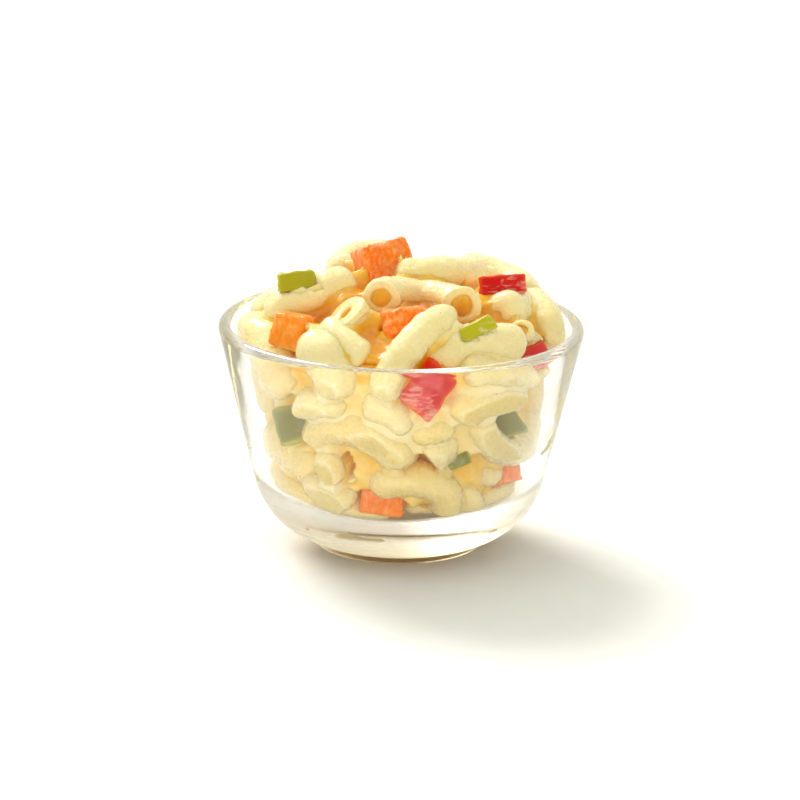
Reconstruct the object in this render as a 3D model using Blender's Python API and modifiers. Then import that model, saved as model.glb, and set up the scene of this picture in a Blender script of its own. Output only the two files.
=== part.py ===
# Pasta salad in a small glass bowl: elbow macaroni with diced carrot and peppers, heaped over the rim.
# Blender metres, +Z up. The origin is on the table, under the middle of the bowl's foot.

import math

import bmesh
import bpy
import numpy as np
from mathutils import Matrix, Vector

MM = 0.001

# Bowl, in millimetres
RIM_RADIUS = 44.5
RIM_TOP = 55.3
WALL = 3.2
WALL_FLARE = 0.238  # radius gained for each millimetre of height
BELLY_RADIUS = 20.1  # outside curve between wall and base
BASE_UNDERSIDE = 0.9  # the base stands this high inside the foot ring
FOOT_RADIUS = 21.2
FOOT_WIDTH = 3.6
FOOT_EDGE = 0.4
FLOOR = 10.0
FLOOR_CURVE = 12.0
BOWL_STEPS = 44
ARC_POINTS = 6  # points on each curve of the bowl's profile

# Heap, in millimetres
GLASS_GAP = 0.4
DOME_FOOT = 54.0
DOME_TOP = 73.2
DOME_RADIUS = 40.5
DOME_CROWN = 1.8  # powers that shape the dome: its flat crown and its steep shoulder
DOME_SHOULDER = 0.7
FLOOR_POINTS = 24  # points of the heap's outline along the floor, and then along each other stretch
OUTLINE_POINTS = 90
CORE_DEPTH = 8.5  # how far the core lies under the outline of the heap
CORE_STEPS = 24
CORE_POINTS = 13
CORE_TIP = 3.0  # the core's profile starts this far from the axis
CORE_FOOT = 2.0  # and ends this high over the floor, drawn in by as much
SQUASH = 1.2  # how far soft pieces press into each other
DEEPEST_FUSED = 5.2  # a piece that lies deeper than this is left to the core
BORE_SHARE = 0.46  # bore of a macaroni as a share of its thickness
BORE_DEPTH = 3.0
FACES_OUT = -0.4  # an end is open where it turns from the way in by at least this much
TUBE_POINTS = 7
TUBE_ROUNDNESS = 2  # Blender's bevel resolution, which gives eight sides
END_SHARE = 0.3  # balls stop this share of the thickness short of a cut end
MOST_END_SHARE = 0.3  # and never more than this share of the length
END_POINTS = 8
END_CROSSES = 0.2  # a cut end's edge may pass the outline by this much
DICE_BALL_SHARE = 0.95  # the balls that stand for a dice, as a share of half its thickness
DICE_ROWS = 1.4
DICE_UNEVEN = 0.24  # a dice's corners lie inside its box by up to this share of it
DICE_CUTS = 2  # a curled dice is bent at this many cuts
DICE_BEVEL = 0.12  # share of a dice's smallest side
SHARP = 0.6  # radians between two faces whose edge is bevelled
CURL_FLATTENS = 0.6
POCKET_GAP = 0.35
SHORTEST_EDGE = 0.002

# Where the front of the heap is looked at from: pieces there are placed as right, up and in
EYE_DISTANCE = 900.0
EYE_PITCH = math.radians(16.4)
EYE_ROLL = math.radians(0.93)
EYE_AIM = 35.25  # height of the middle of the picture on the bowl's axis
PICTURE_UP = 33.8  # the same height, as it is counted in the picture
SIGHT_REACH = 60.0
SIGHT_STEP = 0.25

# What shows from the front, nearest first. Places are millimetres right, up and behind the surface.
# A macaroni has the start, middle and end of its centre line, then its thickness. A dice has its
# middle, its width, height and depth, then its turn in the picture, turn to the side and curl in degrees.
FRONT = {
    "red_pepper_rim": ((7.4, 34.8, 0), (9.5, 12.5, 3.4), -38, 0, 50),
    "green_pepper_left": ((-27.6, 27.2, 0), (8.0, 9.8, 4.2), 18, -12, 20),
    "green_pepper_right": ((27.8, 27.2, 0), (8.6, 8.0, 4.4), 22, 20, 20),
    "long_diagonal": ((11.8, 53.4, 0), (1.0, 45.4, 0), (-4.2, 35.0, 0), 8.0),
    "green_pepper_smear": ((18.8, 51.2, -1), (9.4, 4.0, 3.0), 28, 10, 40),
    "right_front": ((6.5, 43.2, 7), (16.0, 46.6, 0.5), (28.0, 47.4, 0), 9.6),
    "arch": ((-19.4, 25.2, 2), (-10.6, 28.0, 0), (1.0, 19.4, 0), 10.6),
    "hook": ((-5.8, 12.0, 0), (7.0, 13.4, 0), (10.6, 6.0, 0), 9.2),
    "carrot_low": ((-4.2, 6.4, 0), (11.4, 7.2, 5.0), -10, 0, 0),
    "left_rim": ((-37.0, 50.8, 0), (-31.2, 44.4, 0), (-26.6, 36.0, 0), 10.4),
    "carrot_left": ((-27.0, 50.9, 0), (9.6, 9.4, 7.0), -8, -15, 0),
    "stub_high": ((-13.6, 55.4, -3), (-11.4, 53.2, 0.5), (-8.8, 50.0, 5), 10.6),
    "left_front": ((-22.8, 47.6, 0), (-17.6, 43.4, 0), (-13.0, 36.6, 1), 10.2),
    "open_mouth": ((6.6, 20.4, 0), (9.2, 22.8, 0.8), (11.8, 24.2, 3.4), 9.6),
    "right_long": ((27.0, 35.6, 0), (19.4, 35.4, 0), (11.8, 30.4, 0), 9.4),
    "right_cup": ((18.6, 30.0, 0), (24.8, 22.0, 0), (32.2, 29.4, 0), 7.4),
    "leaf_end": ((-18.0, 22.6, 2), (-16.8, 19.0, 0), (-14.8, 14.8, 0), 5.6),
    "stub_low": ((-12.6, 18.0, 0), (-11.0, 17.2, 2), (-8.0, 16.8, 5), 9.0),
    "left_lower": ((-32.0, 26.0, 0), (-26.0, 21.2, 0), (-19.6, 16.6, 0), 10.0),
    "under_rim_left": ((-23.0, 32.8, 0), (-18.5, 33.6, 0), (-12.5, 33.4, 2), 7.6),
    "under_rim_middle": ((-8.0, 35.0, 3), (-3.0, 32.0, 1), (2.0, 28.5, 1), 7.8),
    "under_rim_patch": ((-16.0, 37.6, 2), (-12.0, 36.4, 2), (-7.4, 36.2, 4), 7.0),
    "carrot_top": ((-4.0, 67.0, -8), (13.4, 12.2, 10.0), 14, 24, 0),
    "two_mouths": ((-5.0, 58.6, 0), (5.2, 58.8, 9), (15.2, 57.2, 0), 9.4),
    "top_flat": ((-0.6, 65.0, 0), (8.5, 64.4, 0), (17.0, 64.8, 0), 8.8),
    "red_pepper_top": ((24.9, 61.8, -1), (12.2, 5.8, 4.2), 6, 10, 35),
    "right_round": ((24.4, 55.0, 0), (26.4, 55.6, 2.5), (28.4, 56.8, 7), 10.4),
    "carrot_middle": ((0.8, 52.6, 0), (11.6, 8.0, 8.0), 6, 10, 0),
    "green_pepper_top": ((-25.4, 62.8, -14), (10.0, 5.4, 6.0), 6, 15, 15),
    "left_top": ((-31.6, 54.4, 0), (-22.0, 58.8, 0), (-12.8, 63.2, 0.5), 9.8),
    "top_arc": ((14.5, 64.8, 12), (23.5, 63.8, 8), (29.2, 58.2, 4), 9.4),
    "carrot_right": ((27.4, 15.9, 0), (9.4, 7.6, 6.4), 12, 20, 0),
    "red_pepper_right": ((35.3, 42.4, 0), (11.6, 6.8, 3.8), 28, 40, 25),
    "right_under_rim": ((15.0, 41.0, 1), (22.0, 41.5, 1), (29.0, 39.5, 1.5), 7.4),
    "right_rim": ((32.0, 57.0, 4), (35.8, 52.5, 0), (36.8, 46.5, 0), 8.6),
    "behind_left_front": ((-17.5, 51.5, 4), (-12.5, 47.0, 3), (-8.0, 43.5, 4), 7.4),
    "left_edge": ((-37.0, 42.0, 0), (-34.6, 36.0, 0), (-32.6, 31.0, 1), 8.4),
    "bottom_left": ((-29.0, 14.4, 0), (-24.0, 10.6, 0), (-18.5, 7.4, 0), 8.4),
    "small_patch": ((-20.5, 15.0, 2), (-15.0, 11.6, 0), (-11.2, 9.0, 0), 7.2),
    "bottom_front": ((-16.5, 6.4, 0), (-9.5, 4.6, 0), (-2.5, 3.6, 0), 7.6),
    "bottom_middle": ((1.0, 5.5, 5), (4.0, 6.0, 4), (8.0, 5.5, 5), 6.8),
    "green_pepper_gap": ((13.8, 19.6, 2), (6.2, 3.6, 3.4), 24, 0, 20),
    "under_pepper": ((2.0, 26.5, 2), (6.5, 27.5, 1.5), (12.0, 28.0, 2.5), 7.0),
    "right_stub": ((8.5, 17.6, 8), (15.5, 17.4, 3), (22.0, 16.4, 2), 7.8),
    "bottom_right": ((16.0, 6.0, 1), (21.5, 9.0, 0), (26.0, 12.5, 0), 8.0),
    "bottom_right_inner": ((13.5, 12.5, 6), (16.0, 9.5, 3), (17.0, 6.0, 3), 6.8),
    "right_edge": ((35.0, 40.0, 0), (36.5, 34.0, 0), (35.5, 28.0, 1), 7.0),
    "left_behind": ((-35.0, 53.5, 6), (-31.0, 57.0, 6), (-25.0, 60.0, 7), 8.6),
    "behind_top_dice": ((-12.4, 64.6, 8), (-8.8, 68.4, 8), (-1.0, 69.6, 9), 8.6),
    "small_mouth": ((29.8, 51.0, 1), (30.5, 50.0, 5), (32.5, 47.0, 12), 5.2),
    "carrot_edge": ((-37.5, 43.5, 2), (8.0, 8.4, 6.8), 20, -60, 0),
    "red_pepper_under": ((-1.0, 61.8, 10), (8.0, 3.4, 3.0), -5, 0, 20),
}
STRAIGHT = 1.0  # three points whose cross product is smaller than this make a straight tube
ASIDE = (0.3, 0.2, 1.0)  # a direction that no piece runs along, to square others to
NEAR = 40.0  # only balls this near a piece are tested against it
SLIDE_STEP = 0.5
PULL_TRIES = 30
PULL_CLEAR = 0.1
PULL_SHARE = 0.7
DICE_SINKS = 1.5  # a macaroni may press this much further into the back of a dice
MOST_PUSH = 6.0  # how far a front piece may be pushed back along the line of sight
PUSH_COST = 0.4  # millimetres of overlap that a millimetre of pushing is worth

# The rest of the heap is filled by a seeded rule, wherever its outline is barest
SEED = 2
SAMPLE_SPACING = 3.5
BARE = 3.0  # a place with no piece this near still wants one
FILL_TRIES = 7
FILL_SLIDE = 7.0
FILL_OVERLAP = 1.7
FILL_THICKNESS = (7.6, 10.4)
FILL_LENGTH = (17.0, 26.0)
FILL_BEND = (60.0, 160.0)  # degrees from end to end
FILL_ROLL = 0.5  # radians
FILL_LEAN = 20.0  # degrees
FILL_DICE_WIDTH = (7.5, 11.5)
FILL_DICE_HEIGHT = (6.5, 9.0)
FILL_CARROT_DEPTH = (6.5, 8.5)
FILL_PEPPER_DEPTH = (3.6, 4.8)
FILL_PEPPER_CURL = (15.0, 45.0)
FRONT_SHARE = 0.35  # surfaces turned this much to the eye take filling pieces only behind the first layer
SECOND_LAYER = 5.0
DICE_EVERY = 3  # one filling piece in this many is a dice, where the eye doesn't reach
UNSEEN = -0.15  # surfaces turned from the eye by at least this much
MOST_FILL_DICE = 14
DICE_APART = 14.0  # between the middles of a filling dice and any other
DICE_CLEARANCE = 1.2
DICE_KINDS = ("carrot", "red_pepper", "green_pepper")

COLOURS = {
    "glass": ((0.90, 0.93, 0.91, 1.0), 0.03),
    "macaroni": ((0.87, 0.72, 0.36, 1.0), 0.38),
    "carrot": ((0.95, 0.22, 0.02, 1.0), 0.45),
    "red_pepper": ((0.65, 0.02, 0.02, 1.0), 0.25),
    "green_pepper": ((0.28, 0.30, 0.02, 1.0), 0.3),
}

TILT = math.atan(WALL_FLARE)
RIM_MIDDLE = (RIM_RADIUS - WALL / 2, RIM_TOP - WALL / 2)


# The bowl's walls


def outer_radius(z):
    return RIM_MIDDLE[0] + WALL / 2 / math.cos(TILT) + (z - RIM_MIDDLE[1]) * WALL_FLARE


def inner_radius(z):
    return outer_radius(z) - WALL / math.cos(TILT)


def arc(middle, radius, first, last, count):
    """Points on an arc in the profile plane, with angles in radians from the +X side."""
    turns = np.linspace(first, last, count)
    return [(middle[0] + radius * math.cos(t), middle[1] + radius * math.sin(t)) for t in turns]


def corner_middle(underside, radius, wall_radius):
    """Middle of the round corner between a level base and the slanted wall."""
    height = underside + radius
    return wall_radius(height) - radius / math.cos(TILT), height


def floor_outline(curve_points):
    """The inside of the bowl, from the middle of its floor to the start of the straight wall."""
    middle = corner_middle(FLOOR, FLOOR_CURVE, inner_radius)
    return [(0.0, FLOOR)] + arc(middle, FLOOR_CURVE, -math.pi / 2, -TILT, curve_points)


def bowl_outline():
    belly = corner_middle(BASE_UNDERSIDE, BELLY_RADIUS, outer_radius)
    foot_turn = -math.acos((FOOT_RADIUS - belly[0]) / BELLY_RADIUS)
    foot_inside = FOOT_RADIUS - FOOT_WIDTH
    return (
        floor_outline(ARC_POINTS)
        + arc(RIM_MIDDLE, WALL / 2, math.pi - TILT, -TILT, ARC_POINTS)
        + arc(belly, BELLY_RADIUS, -TILT, foot_turn, ARC_POINTS)
        + [
            (FOOT_RADIUS, FOOT_EDGE),
            (FOOT_RADIUS - FOOT_EDGE, 0.0),
            (foot_inside + FOOT_EDGE, 0.0),
            (foot_inside, BASE_UNDERSIDE),
            (0.0, BASE_UNDERSIDE),
        ]
    )


# The outline of the heap


def dome_radius(z):
    share = np.clip((z - DOME_FOOT) / (DOME_TOP - DOME_FOOT), 0.0, 1.0)
    return DOME_RADIUS * (1 - share**DOME_CROWN) ** DOME_SHOULDER


def heap_outline():
    """The heap's profile as dense points, from the floor's middle up the glass and over the dome."""
    floor = floor_outline(FLOOR_POINTS)
    across = [(r, FLOOR) for r in np.linspace(0.0, floor[1][0], FLOOR_POINTS)]
    wall = [(inner_radius(z), z) for z in np.linspace(floor[-1][1], RIM_TOP, OUTLINE_POINTS)]
    glass = np.array(across + floor[2:] + wall[1:])
    glass[:, 0] = np.minimum(glass[:, 0] - GLASS_GAP, dome_radius(glass[:, 1]))
    glass[:, 0] = np.maximum(glass[:, 0], 0.0)
    glass[:, 1] = np.maximum(glass[:, 1], FLOOR + GLASS_GAP)
    heights = np.linspace(RIM_TOP, DOME_TOP, OUTLINE_POINTS)[1:]
    dome = np.stack([dome_radius(heights), heights], 1)
    return np.concatenate([glass, dome])


OUTLINE = heap_outline()


def outline_normals():
    """Directions into the heap, one for each point of its outline."""
    along = np.gradient(OUTLINE, axis=0)
    inward = np.stack([-along[:, 1], along[:, 0]], 1)
    return inward / np.maximum(np.linalg.norm(inward, axis=1, keepdims=True), 1e-9)


NORMALS = outline_normals()


def inward_at(point):
    """The direction into the heap at the outline's nearest point."""
    flat = np.array([math.hypot(point[0], point[1]), point[2]])
    nearest = np.linalg.norm(OUTLINE - flat, axis=1).argmin()
    normal = NORMALS[nearest]
    turn = math.atan2(point[1], point[0])
    return np.array([normal[0] * math.cos(turn), normal[0] * math.sin(turn), normal[1]])


def depth_under_outline(points):
    """How far each point lies inside the heap's outline, negative outside it."""
    flat = np.stack([np.hypot(points[:, 0], points[:, 1]), points[:, 2]], 1)
    gaps = np.linalg.norm(flat[:, None] - OUTLINE[None], axis=2)
    side = OUTLINE[FLOOR_POINTS:]
    radius = np.interp(flat[:, 1], side[:, 1], side[:, 0])
    inside = (flat[:, 0] < radius) & (flat[:, 1] > FLOOR + GLASS_GAP) & (flat[:, 1] < DOME_TOP)
    return np.where(inside, 1, -1) * gaps.min(1)


# Places as they are seen from the front

SIGHT = np.array([0.0, math.cos(EYE_PITCH), -math.sin(EYE_PITCH)])
SIGHT_UP = np.array([0.0, math.sin(EYE_PITCH), math.cos(EYE_PITCH)])
SIGHT_RIGHT = np.array([1.0, 0.0, 0.0])
MIDDLE = np.array([0.0, 0.0, EYE_AIM])
EYE = MIDDLE - EYE_DISTANCE * SIGHT


def line_of_sight(right, up):
    """The point of the picture plane and the direction of sight through it."""
    up = up - PICTURE_UP
    across = right * math.cos(EYE_ROLL) - up * math.sin(EYE_ROLL)
    above = right * math.sin(EYE_ROLL) + up * math.cos(EYE_ROLL)
    point = MIDDLE + across * SIGHT_RIGHT + above * SIGHT_UP
    sight = (point - EYE) / np.linalg.norm(point - EYE)
    return point, sight


def seen_at(right, up, behind, radius):
    """Where the line of sight first gets this deep under the outline."""
    point, sight = line_of_sight(right, up)
    steps = np.arange(-SIGHT_REACH, SIGHT_REACH, SIGHT_STEP)
    places = point + steps[:, None] * sight
    depths = depth_under_outline(places)
    deep = np.nonzero(depths >= radius)[0]
    found = deep[0] if len(deep) else int(depths.argmax())
    return places[found] + behind * sight


def arc_through(start, middle, end, count):
    """Points on the circle through three points, as a bent tube's centre line."""
    to_middle = middle - start
    to_end = end - start
    normal = np.cross(to_middle, to_end)
    size = normal @ normal
    if size < STRAIGHT:
        return start + np.linspace(0, 1, count)[:, None] * to_end
    offset = np.cross(normal, to_middle) * (to_end @ to_end)
    offset += np.cross(to_end, normal) * (to_middle @ to_middle)
    centre = start + offset / (2 * size)
    first = start - centre
    second = np.cross(normal / math.sqrt(size), first)
    sweep = math.atan2((end - centre) @ second, (end - centre) @ first) % (2 * math.pi)
    turns = np.linspace(0, sweep, count)[:, None]
    return centre + np.cos(turns) * first + np.sin(turns) * second


# Packing


class Piece:
    """A macaroni or a dice, with the balls that stand for it while the heap is packed."""

    def __init__(self, kind, middle, balls, radius, extremes, margins, shape):
        self.kind = kind
        self.middle = middle
        self.balls = balls
        self.radius = radius
        self.extremes = extremes  # points that have to stay inside the outline
        self.margins = margins  # how deep inside it each of them stays
        self.shape = shape
        self.slid = 0.0

    def move(self, step):
        self.middle = self.middle + step
        self.balls = self.balls + step
        self.extremes = self.extremes + step
        if self.kind == "macaroni":
            self.shape = self.shape + step


def end_rings(line, radius):
    """Points round the two cut ends of a tube."""
    turns = np.linspace(0, 2 * math.pi, END_POINTS, endpoint=False)[:, None]
    rings = []
    for end, before in ((line[0], line[1]), (line[-1], line[-2])):
        along = (end - before) / np.linalg.norm(end - before)
        side = np.cross(along, ASIDE)
        side /= np.linalg.norm(side)
        rings.append(end + radius * (np.cos(turns) * side + np.sin(turns) * np.cross(along, side)))
    return np.concatenate(rings)


def macaroni(line, thickness):
    """A macaroni is packed as balls along its line, short of its cut ends."""
    radius = thickness / 2
    way = np.linspace(0.0, 1.0, len(line))
    length = np.linalg.norm(np.diff(line, axis=0), axis=1).sum()
    short = min(END_SHARE * thickness / length, MOST_END_SHARE)
    inner_way = np.linspace(short, 1 - short, len(line))
    balls = np.stack([np.interp(inner_way, way, line[:, i]) for i in range(3)], 1)
    rings = end_rings(line, radius)
    margins = np.concatenate([np.full(len(balls), radius), np.full(len(rings), -END_CROSSES)])
    extremes = np.concatenate([balls, rings])
    return Piece("macaroni", line[len(line) // 2], balls, radius, extremes, margins, line)


def dice(kind, centre, axes, size, curl):
    """A dice is packed as rows of balls, and kept inside the outline by its corners."""
    half = np.array(size) / 2
    radius = half.min() * DICE_BALL_SHARE
    rows = [np.linspace(radius - h, h - radius, int((h - radius) / radius * DICE_ROWS) + 2) for h in half]
    grid = np.array(np.meshgrid(*rows)).reshape(3, -1).T
    corners = np.array(np.meshgrid((-1, 1), (-1, 1), (-1, 1))).reshape(3, -1).T * half
    shape = (axes, np.array(size, float), curl)
    return Piece(kind, centre, centre + grid @ axes, radius, centre + corners @ axes, np.zeros(8), shape)


class Heap:
    """The pieces placed so far."""

    def __init__(self):
        self.pieces = []
        self.balls = np.zeros((0, 3))
        self.radii = np.zeros(0)
        self.is_dice = np.zeros(0, bool)

    def add(self, piece):
        self.pieces.append(piece)
        self.balls = np.concatenate([self.balls, piece.balls])
        self.radii = np.concatenate([self.radii, np.full(len(piece.balls), piece.radius)])
        self.is_dice = np.concatenate([self.is_dice, np.full(len(piece.balls), piece.kind != "macaroni")])

    def overlaps(self, piece, steps):
        """The deepest overlap with the heap after each of these steps."""
        near = np.linalg.norm(self.balls - piece.middle, axis=1) < NEAR
        if not near.any():
            return np.zeros(len(steps))
        places = piece.balls[None, :, None] + steps[:, None, None]
        gaps = np.linalg.norm(places - self.balls[near], axis=3) - self.radii[near] - piece.radius
        margin = DICE_SINKS if piece.kind == "macaroni" else -DICE_CLEARANCE - SQUASH
        gaps = gaps + np.where(self.is_dice[near], margin, 0.0)
        return np.maximum(-gaps.min((1, 2)), 0.0)

    def slide(self, piece, direction, most, first=0.0):
        """Slides a piece to where it overlaps least for its way, and gives the overlap left."""
        ways = np.arange(first, first + most + SLIDE_STEP / 2, SLIDE_STEP)
        overlaps = self.overlaps(piece, ways[:, None] * direction)
        best = (np.maximum(overlaps - SQUASH, 0.0) + PUSH_COST * ways).argmin()
        piece.move(ways[best] * direction)
        piece.slid = ways[best]
        return overlaps[best]


def pull_inside(piece, free_above=np.inf):
    """Moves a piece inwards, from where it crosses most, until it no longer crosses the outline."""
    for _ in range(PULL_TRIES):
        depths = depth_under_outline(piece.extremes) - piece.margins
        depths[piece.extremes[:, 2] > free_above] = 0.0
        worst = depths.argmin()
        if depths[worst] >= 0:
            return
        piece.move(inward_at(piece.extremes[worst]) * (PULL_CLEAR - depths[worst]) * PULL_SHARE)


def turned_axes(turn, side):
    """Axes of a dice that faces the eye, turned in the picture and then to the side."""
    turn, side = math.radians(turn), math.radians(side)
    right = math.cos(turn) * SIGHT_RIGHT + math.sin(turn) * SIGHT_UP
    up = -math.sin(turn) * SIGHT_RIGHT + math.cos(turn) * SIGHT_UP
    across = math.cos(side) * right + math.sin(side) * SIGHT
    return np.array([across, up, np.cross(across, up)])


def front_piece(name, facts):
    """One piece as it is seen from the front, and the direction of sight through it."""
    if name.startswith(DICE_KINDS):
        (right, up, behind), size, turn, side, curl = facts
        centre = seen_at(right, up, behind, size[2] / 2)
        piece = dice(name.rsplit("_", 1)[0], centre, turned_axes(turn, side), size, curl)
    else:
        *places, thickness = facts
        right, up, behind = places[1]
        ends = [seen_at(*place, thickness / 2) for place in places]
        piece = macaroni(arc_through(*ends, 2 * TUBE_POINTS - 1), thickness)
    return piece, line_of_sight(right, up)[1]


def place_front(heap):
    """The pieces that show from the front, each pushed back until it overlaps the nearer ones least."""
    for name, facts in FRONT.items():
        piece, sight = front_piece(name, facts)
        pull_inside(piece, RIM_TOP)
        heap.slide(piece, sight, MOST_PUSH)
        pull_inside(piece, RIM_TOP)
        heap.add(piece)


def random_frame(rng, inward):
    """A heading along the surface, tilted a little, and the direction square to it."""
    spin = rng.uniform(0, 2 * math.pi)
    side = np.cross(inward, ASIDE)
    side /= np.linalg.norm(side)
    heading = math.cos(spin) * side + math.sin(spin) * np.cross(inward, side)
    lean = math.radians(rng.normal(0, FILL_LEAN))
    heading = math.cos(lean) * heading + math.sin(lean) * inward
    across = np.cross(heading, inward)
    return heading, across / np.linalg.norm(across)


def random_macaroni(rng, surface, inward):
    thickness = rng.uniform(*FILL_THICKNESS)
    sweep = math.radians(rng.uniform(*FILL_BEND))
    radius = rng.uniform(*FILL_LENGTH) / sweep
    heading, across = random_frame(rng, inward)
    roll = rng.normal(0, FILL_ROLL)
    bend = math.cos(roll) * across + math.sin(roll) * np.cross(heading, across)
    turns = np.linspace(-sweep / 2, sweep / 2, 2 * TUBE_POINTS - 1)[:, None]
    line = radius * (np.sin(turns) * heading + (np.cos(turns) - 1) * bend)
    return macaroni(surface + inward * thickness / 2 + line - line.mean(0), thickness)


def random_dice(rng, surface, inward, kind):
    depth = rng.uniform(*(FILL_CARROT_DEPTH if kind == "carrot" else FILL_PEPPER_DEPTH))
    size = (rng.uniform(*FILL_DICE_WIDTH), rng.uniform(*FILL_DICE_HEIGHT), depth)
    heading, across = random_frame(rng, inward)
    axes = np.array([heading, across, np.cross(heading, across)])
    curl = 0.0 if kind == "carrot" else rng.uniform(*FILL_PEPPER_CURL)
    return dice(kind, surface + inward * depth / 2, axes, size, curl)


def surface_samples():
    """Places spread evenly over the heap's outline, without its underside."""
    side = OUTLINE[FLOOR_POINTS:]
    way = np.concatenate([[0.0], np.cumsum(np.linalg.norm(np.diff(side, axis=0), axis=1))])
    places = []
    for number, at in enumerate(np.arange(SAMPLE_SPACING, way[-1], SAMPLE_SPACING)):
        radius = np.interp(at, way, side[:, 0])
        height = np.interp(at, way, side[:, 1])
        count = max(3, round(2 * math.pi * radius / SAMPLE_SPACING))
        turns = (np.arange(count) + number % 2 / 2) * 2 * math.pi / count
        places.append(np.stack([radius * np.cos(turns), radius * np.sin(turns), np.full(count, height)], 1))
    return np.concatenate(places)


def fill(heap):
    """Fills the outline, each time where it is barest, with the piece that fits best of a few tries."""
    rng = np.random.default_rng(SEED)
    samples = surface_samples()
    inwards = np.array([inward_at(sample) for sample in samples])
    first = np.where(inwards @ SIGHT > FRONT_SHARE, SECOND_LAYER, 0.0)
    targets = samples + inwards * first[:, None]
    gaps = np.full(len(samples), np.inf)
    for ball, radius in zip(heap.balls, heap.radii):
        gaps = np.minimum(gaps, np.linalg.norm(targets - ball, axis=1) - radius)
    fill_dice = 0
    count = 0
    while gaps.max() > BARE:
        at = int(gaps.argmax())
        count += 1
        others = np.array([piece.middle for piece in heap.pieces if piece.kind != "macaroni"])
        apart = np.linalg.norm(others - samples[at], axis=1).min() > DICE_APART
        wants_dice = count % DICE_EVERY == 0 and fill_dice < MOST_FILL_DICE
        wants_dice = wants_dice and apart and inwards[at] @ SIGHT < UNSEEN
        kind = DICE_KINDS[count // DICE_EVERY % len(DICE_KINDS)]
        best, least = None, np.inf
        for _ in range(FILL_TRIES):
            make = random_dice if wants_dice else random_macaroni
            piece = make(rng, samples[at], inwards[at], *([kind] if wants_dice else []))
            pull_inside(piece)
            overlap = heap.slide(piece, inwards[at], 1.0 if wants_dice else FILL_SLIDE, first[at])
            if overlap + PUSH_COST * piece.slid < least:
                best, least = piece, overlap + PUSH_COST * piece.slid
        if least > FILL_OVERLAP + PUSH_COST * best.slid:
            gaps[at] = 0.0
            continue
        heap.add(best)
        fill_dice += best.kind != "macaroni"
        for ball in best.balls:
            gaps = np.minimum(gaps, np.linalg.norm(targets - ball, axis=1) - best.radius)
        gaps[at] = 0.0


# Blender objects


def clear_scene():
    for obj in list(bpy.data.objects):
        bpy.data.objects.remove(obj, do_unlink=True)


def new_collection(name):
    group = bpy.data.collections.new(name)
    bpy.context.scene.collection.children.link(group)
    return group


def material(name):
    found = bpy.data.materials.get(name)
    if found:
        return found
    found = bpy.data.materials.new(name)
    found.use_nodes = True
    shader = found.node_tree.nodes["Principled BSDF"]
    colour, roughness = COLOURS[name]
    shader.inputs["Base Color"].default_value = colour
    shader.inputs["Roughness"].default_value = roughness
    shader.inputs["Metallic"].default_value = 0.0
    return found


def object_of(name, mesh, group, kind):
    obj = bpy.data.objects.new(name, mesh)
    group.objects.link(obj)
    mesh.materials.clear()
    mesh.materials.append(material(kind))
    return obj


def evaluated_mesh(obj):
    bpy.context.view_layer.update()
    graph = bpy.context.evaluated_depsgraph_get()
    return bpy.data.meshes.new_from_object(obj.evaluated_get(graph))


def turned(name, outline, steps, group, kind):
    """A profile turned round the Z axis."""
    mesh = bpy.data.meshes.new(name)
    points = [(r * MM, 0.0, z * MM) for r, z in outline]
    mesh.from_pydata(points, [(i, i + 1) for i in range(len(points) - 1)], [])
    obj = object_of(name, mesh, group, kind)
    screw = obj.modifiers.new("turn", "SCREW")
    screw.steps = steps
    screw.render_steps = steps
    screw.use_merge_vertices = True
    screw.merge_threshold = 1e-6
    screw.use_smooth_shade = True
    return obj


def make_bowl(group):
    return turned("glass_bowl", bowl_outline(), BOWL_STEPS, group, "glass")


def core_outline():
    """The heap's outline moved inwards, down to the floor, as a profile that runs down its outer side."""
    inner = OUTLINE + NORMALS * CORE_DEPTH
    side = inner[FLOOR_POINTS:]
    side = side[(side[:, 0] > CORE_TIP) & (side[:, 1] > FLOOR + CORE_FOOT)][::-1]
    picked = side[np.linspace(0, len(side) - 1, CORE_POINTS).astype(int)]
    bottom = FLOOR + GLASS_GAP
    foot = [(picked[-1][0] - CORE_FOOT, bottom), (0.0, bottom)]
    return [(0.0, picked[0][1])] + [tuple(p) for p in picked] + foot


def tube(piece, group):
    """A macaroni as a bent tube, with a mouth at each end that faces out of the heap."""
    curve = bpy.data.curves.new("tube", "CURVE")
    curve.dimensions = "3D"
    curve.bevel_depth = piece.radius * MM
    curve.bevel_resolution = TUBE_ROUNDNESS
    spline = curve.splines.new("POLY")
    line = piece.shape[::2]
    spline.points.add(len(line) - 1)
    for point, place in zip(spline.points, line):
        point.co = (*(place * MM), 1.0)
    guide = bpy.data.objects.new("guide", curve)
    group.objects.link(guide)
    mesh = evaluated_mesh(guide)
    bpy.data.objects.remove(guide, do_unlink=True)
    obj = object_of("tube", mesh, group, "macaroni")
    open_mouths(mesh, piece)
    return obj


def open_mouths(mesh, piece):
    shape = bmesh.new()
    shape.from_mesh(mesh)
    bmesh.ops.remove_doubles(shape, verts=shape.verts, dist=1e-6)
    bmesh.ops.holes_fill(shape, edges=[edge for edge in shape.edges if edge.is_boundary])
    bmesh.ops.recalc_face_normals(shape, faces=shape.faces)
    caps = [face for face in shape.faces if len(face.verts) > 4]
    for cap in caps:
        place = np.array(cap.calc_center_median()) / MM
        if np.array(cap.normal) @ inward_at(place) > FACES_OUT:
            continue
        rim = piece.radius * (1 - BORE_SHARE) * MM
        bmesh.ops.inset_region(shape, faces=[cap], thickness=rim, use_even_offset=True)
        bmesh.ops.translate(shape, verts=cap.verts, vec=cap.normal * -BORE_DEPTH * MM)
    shape.to_mesh(mesh)
    shape.free()


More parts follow.
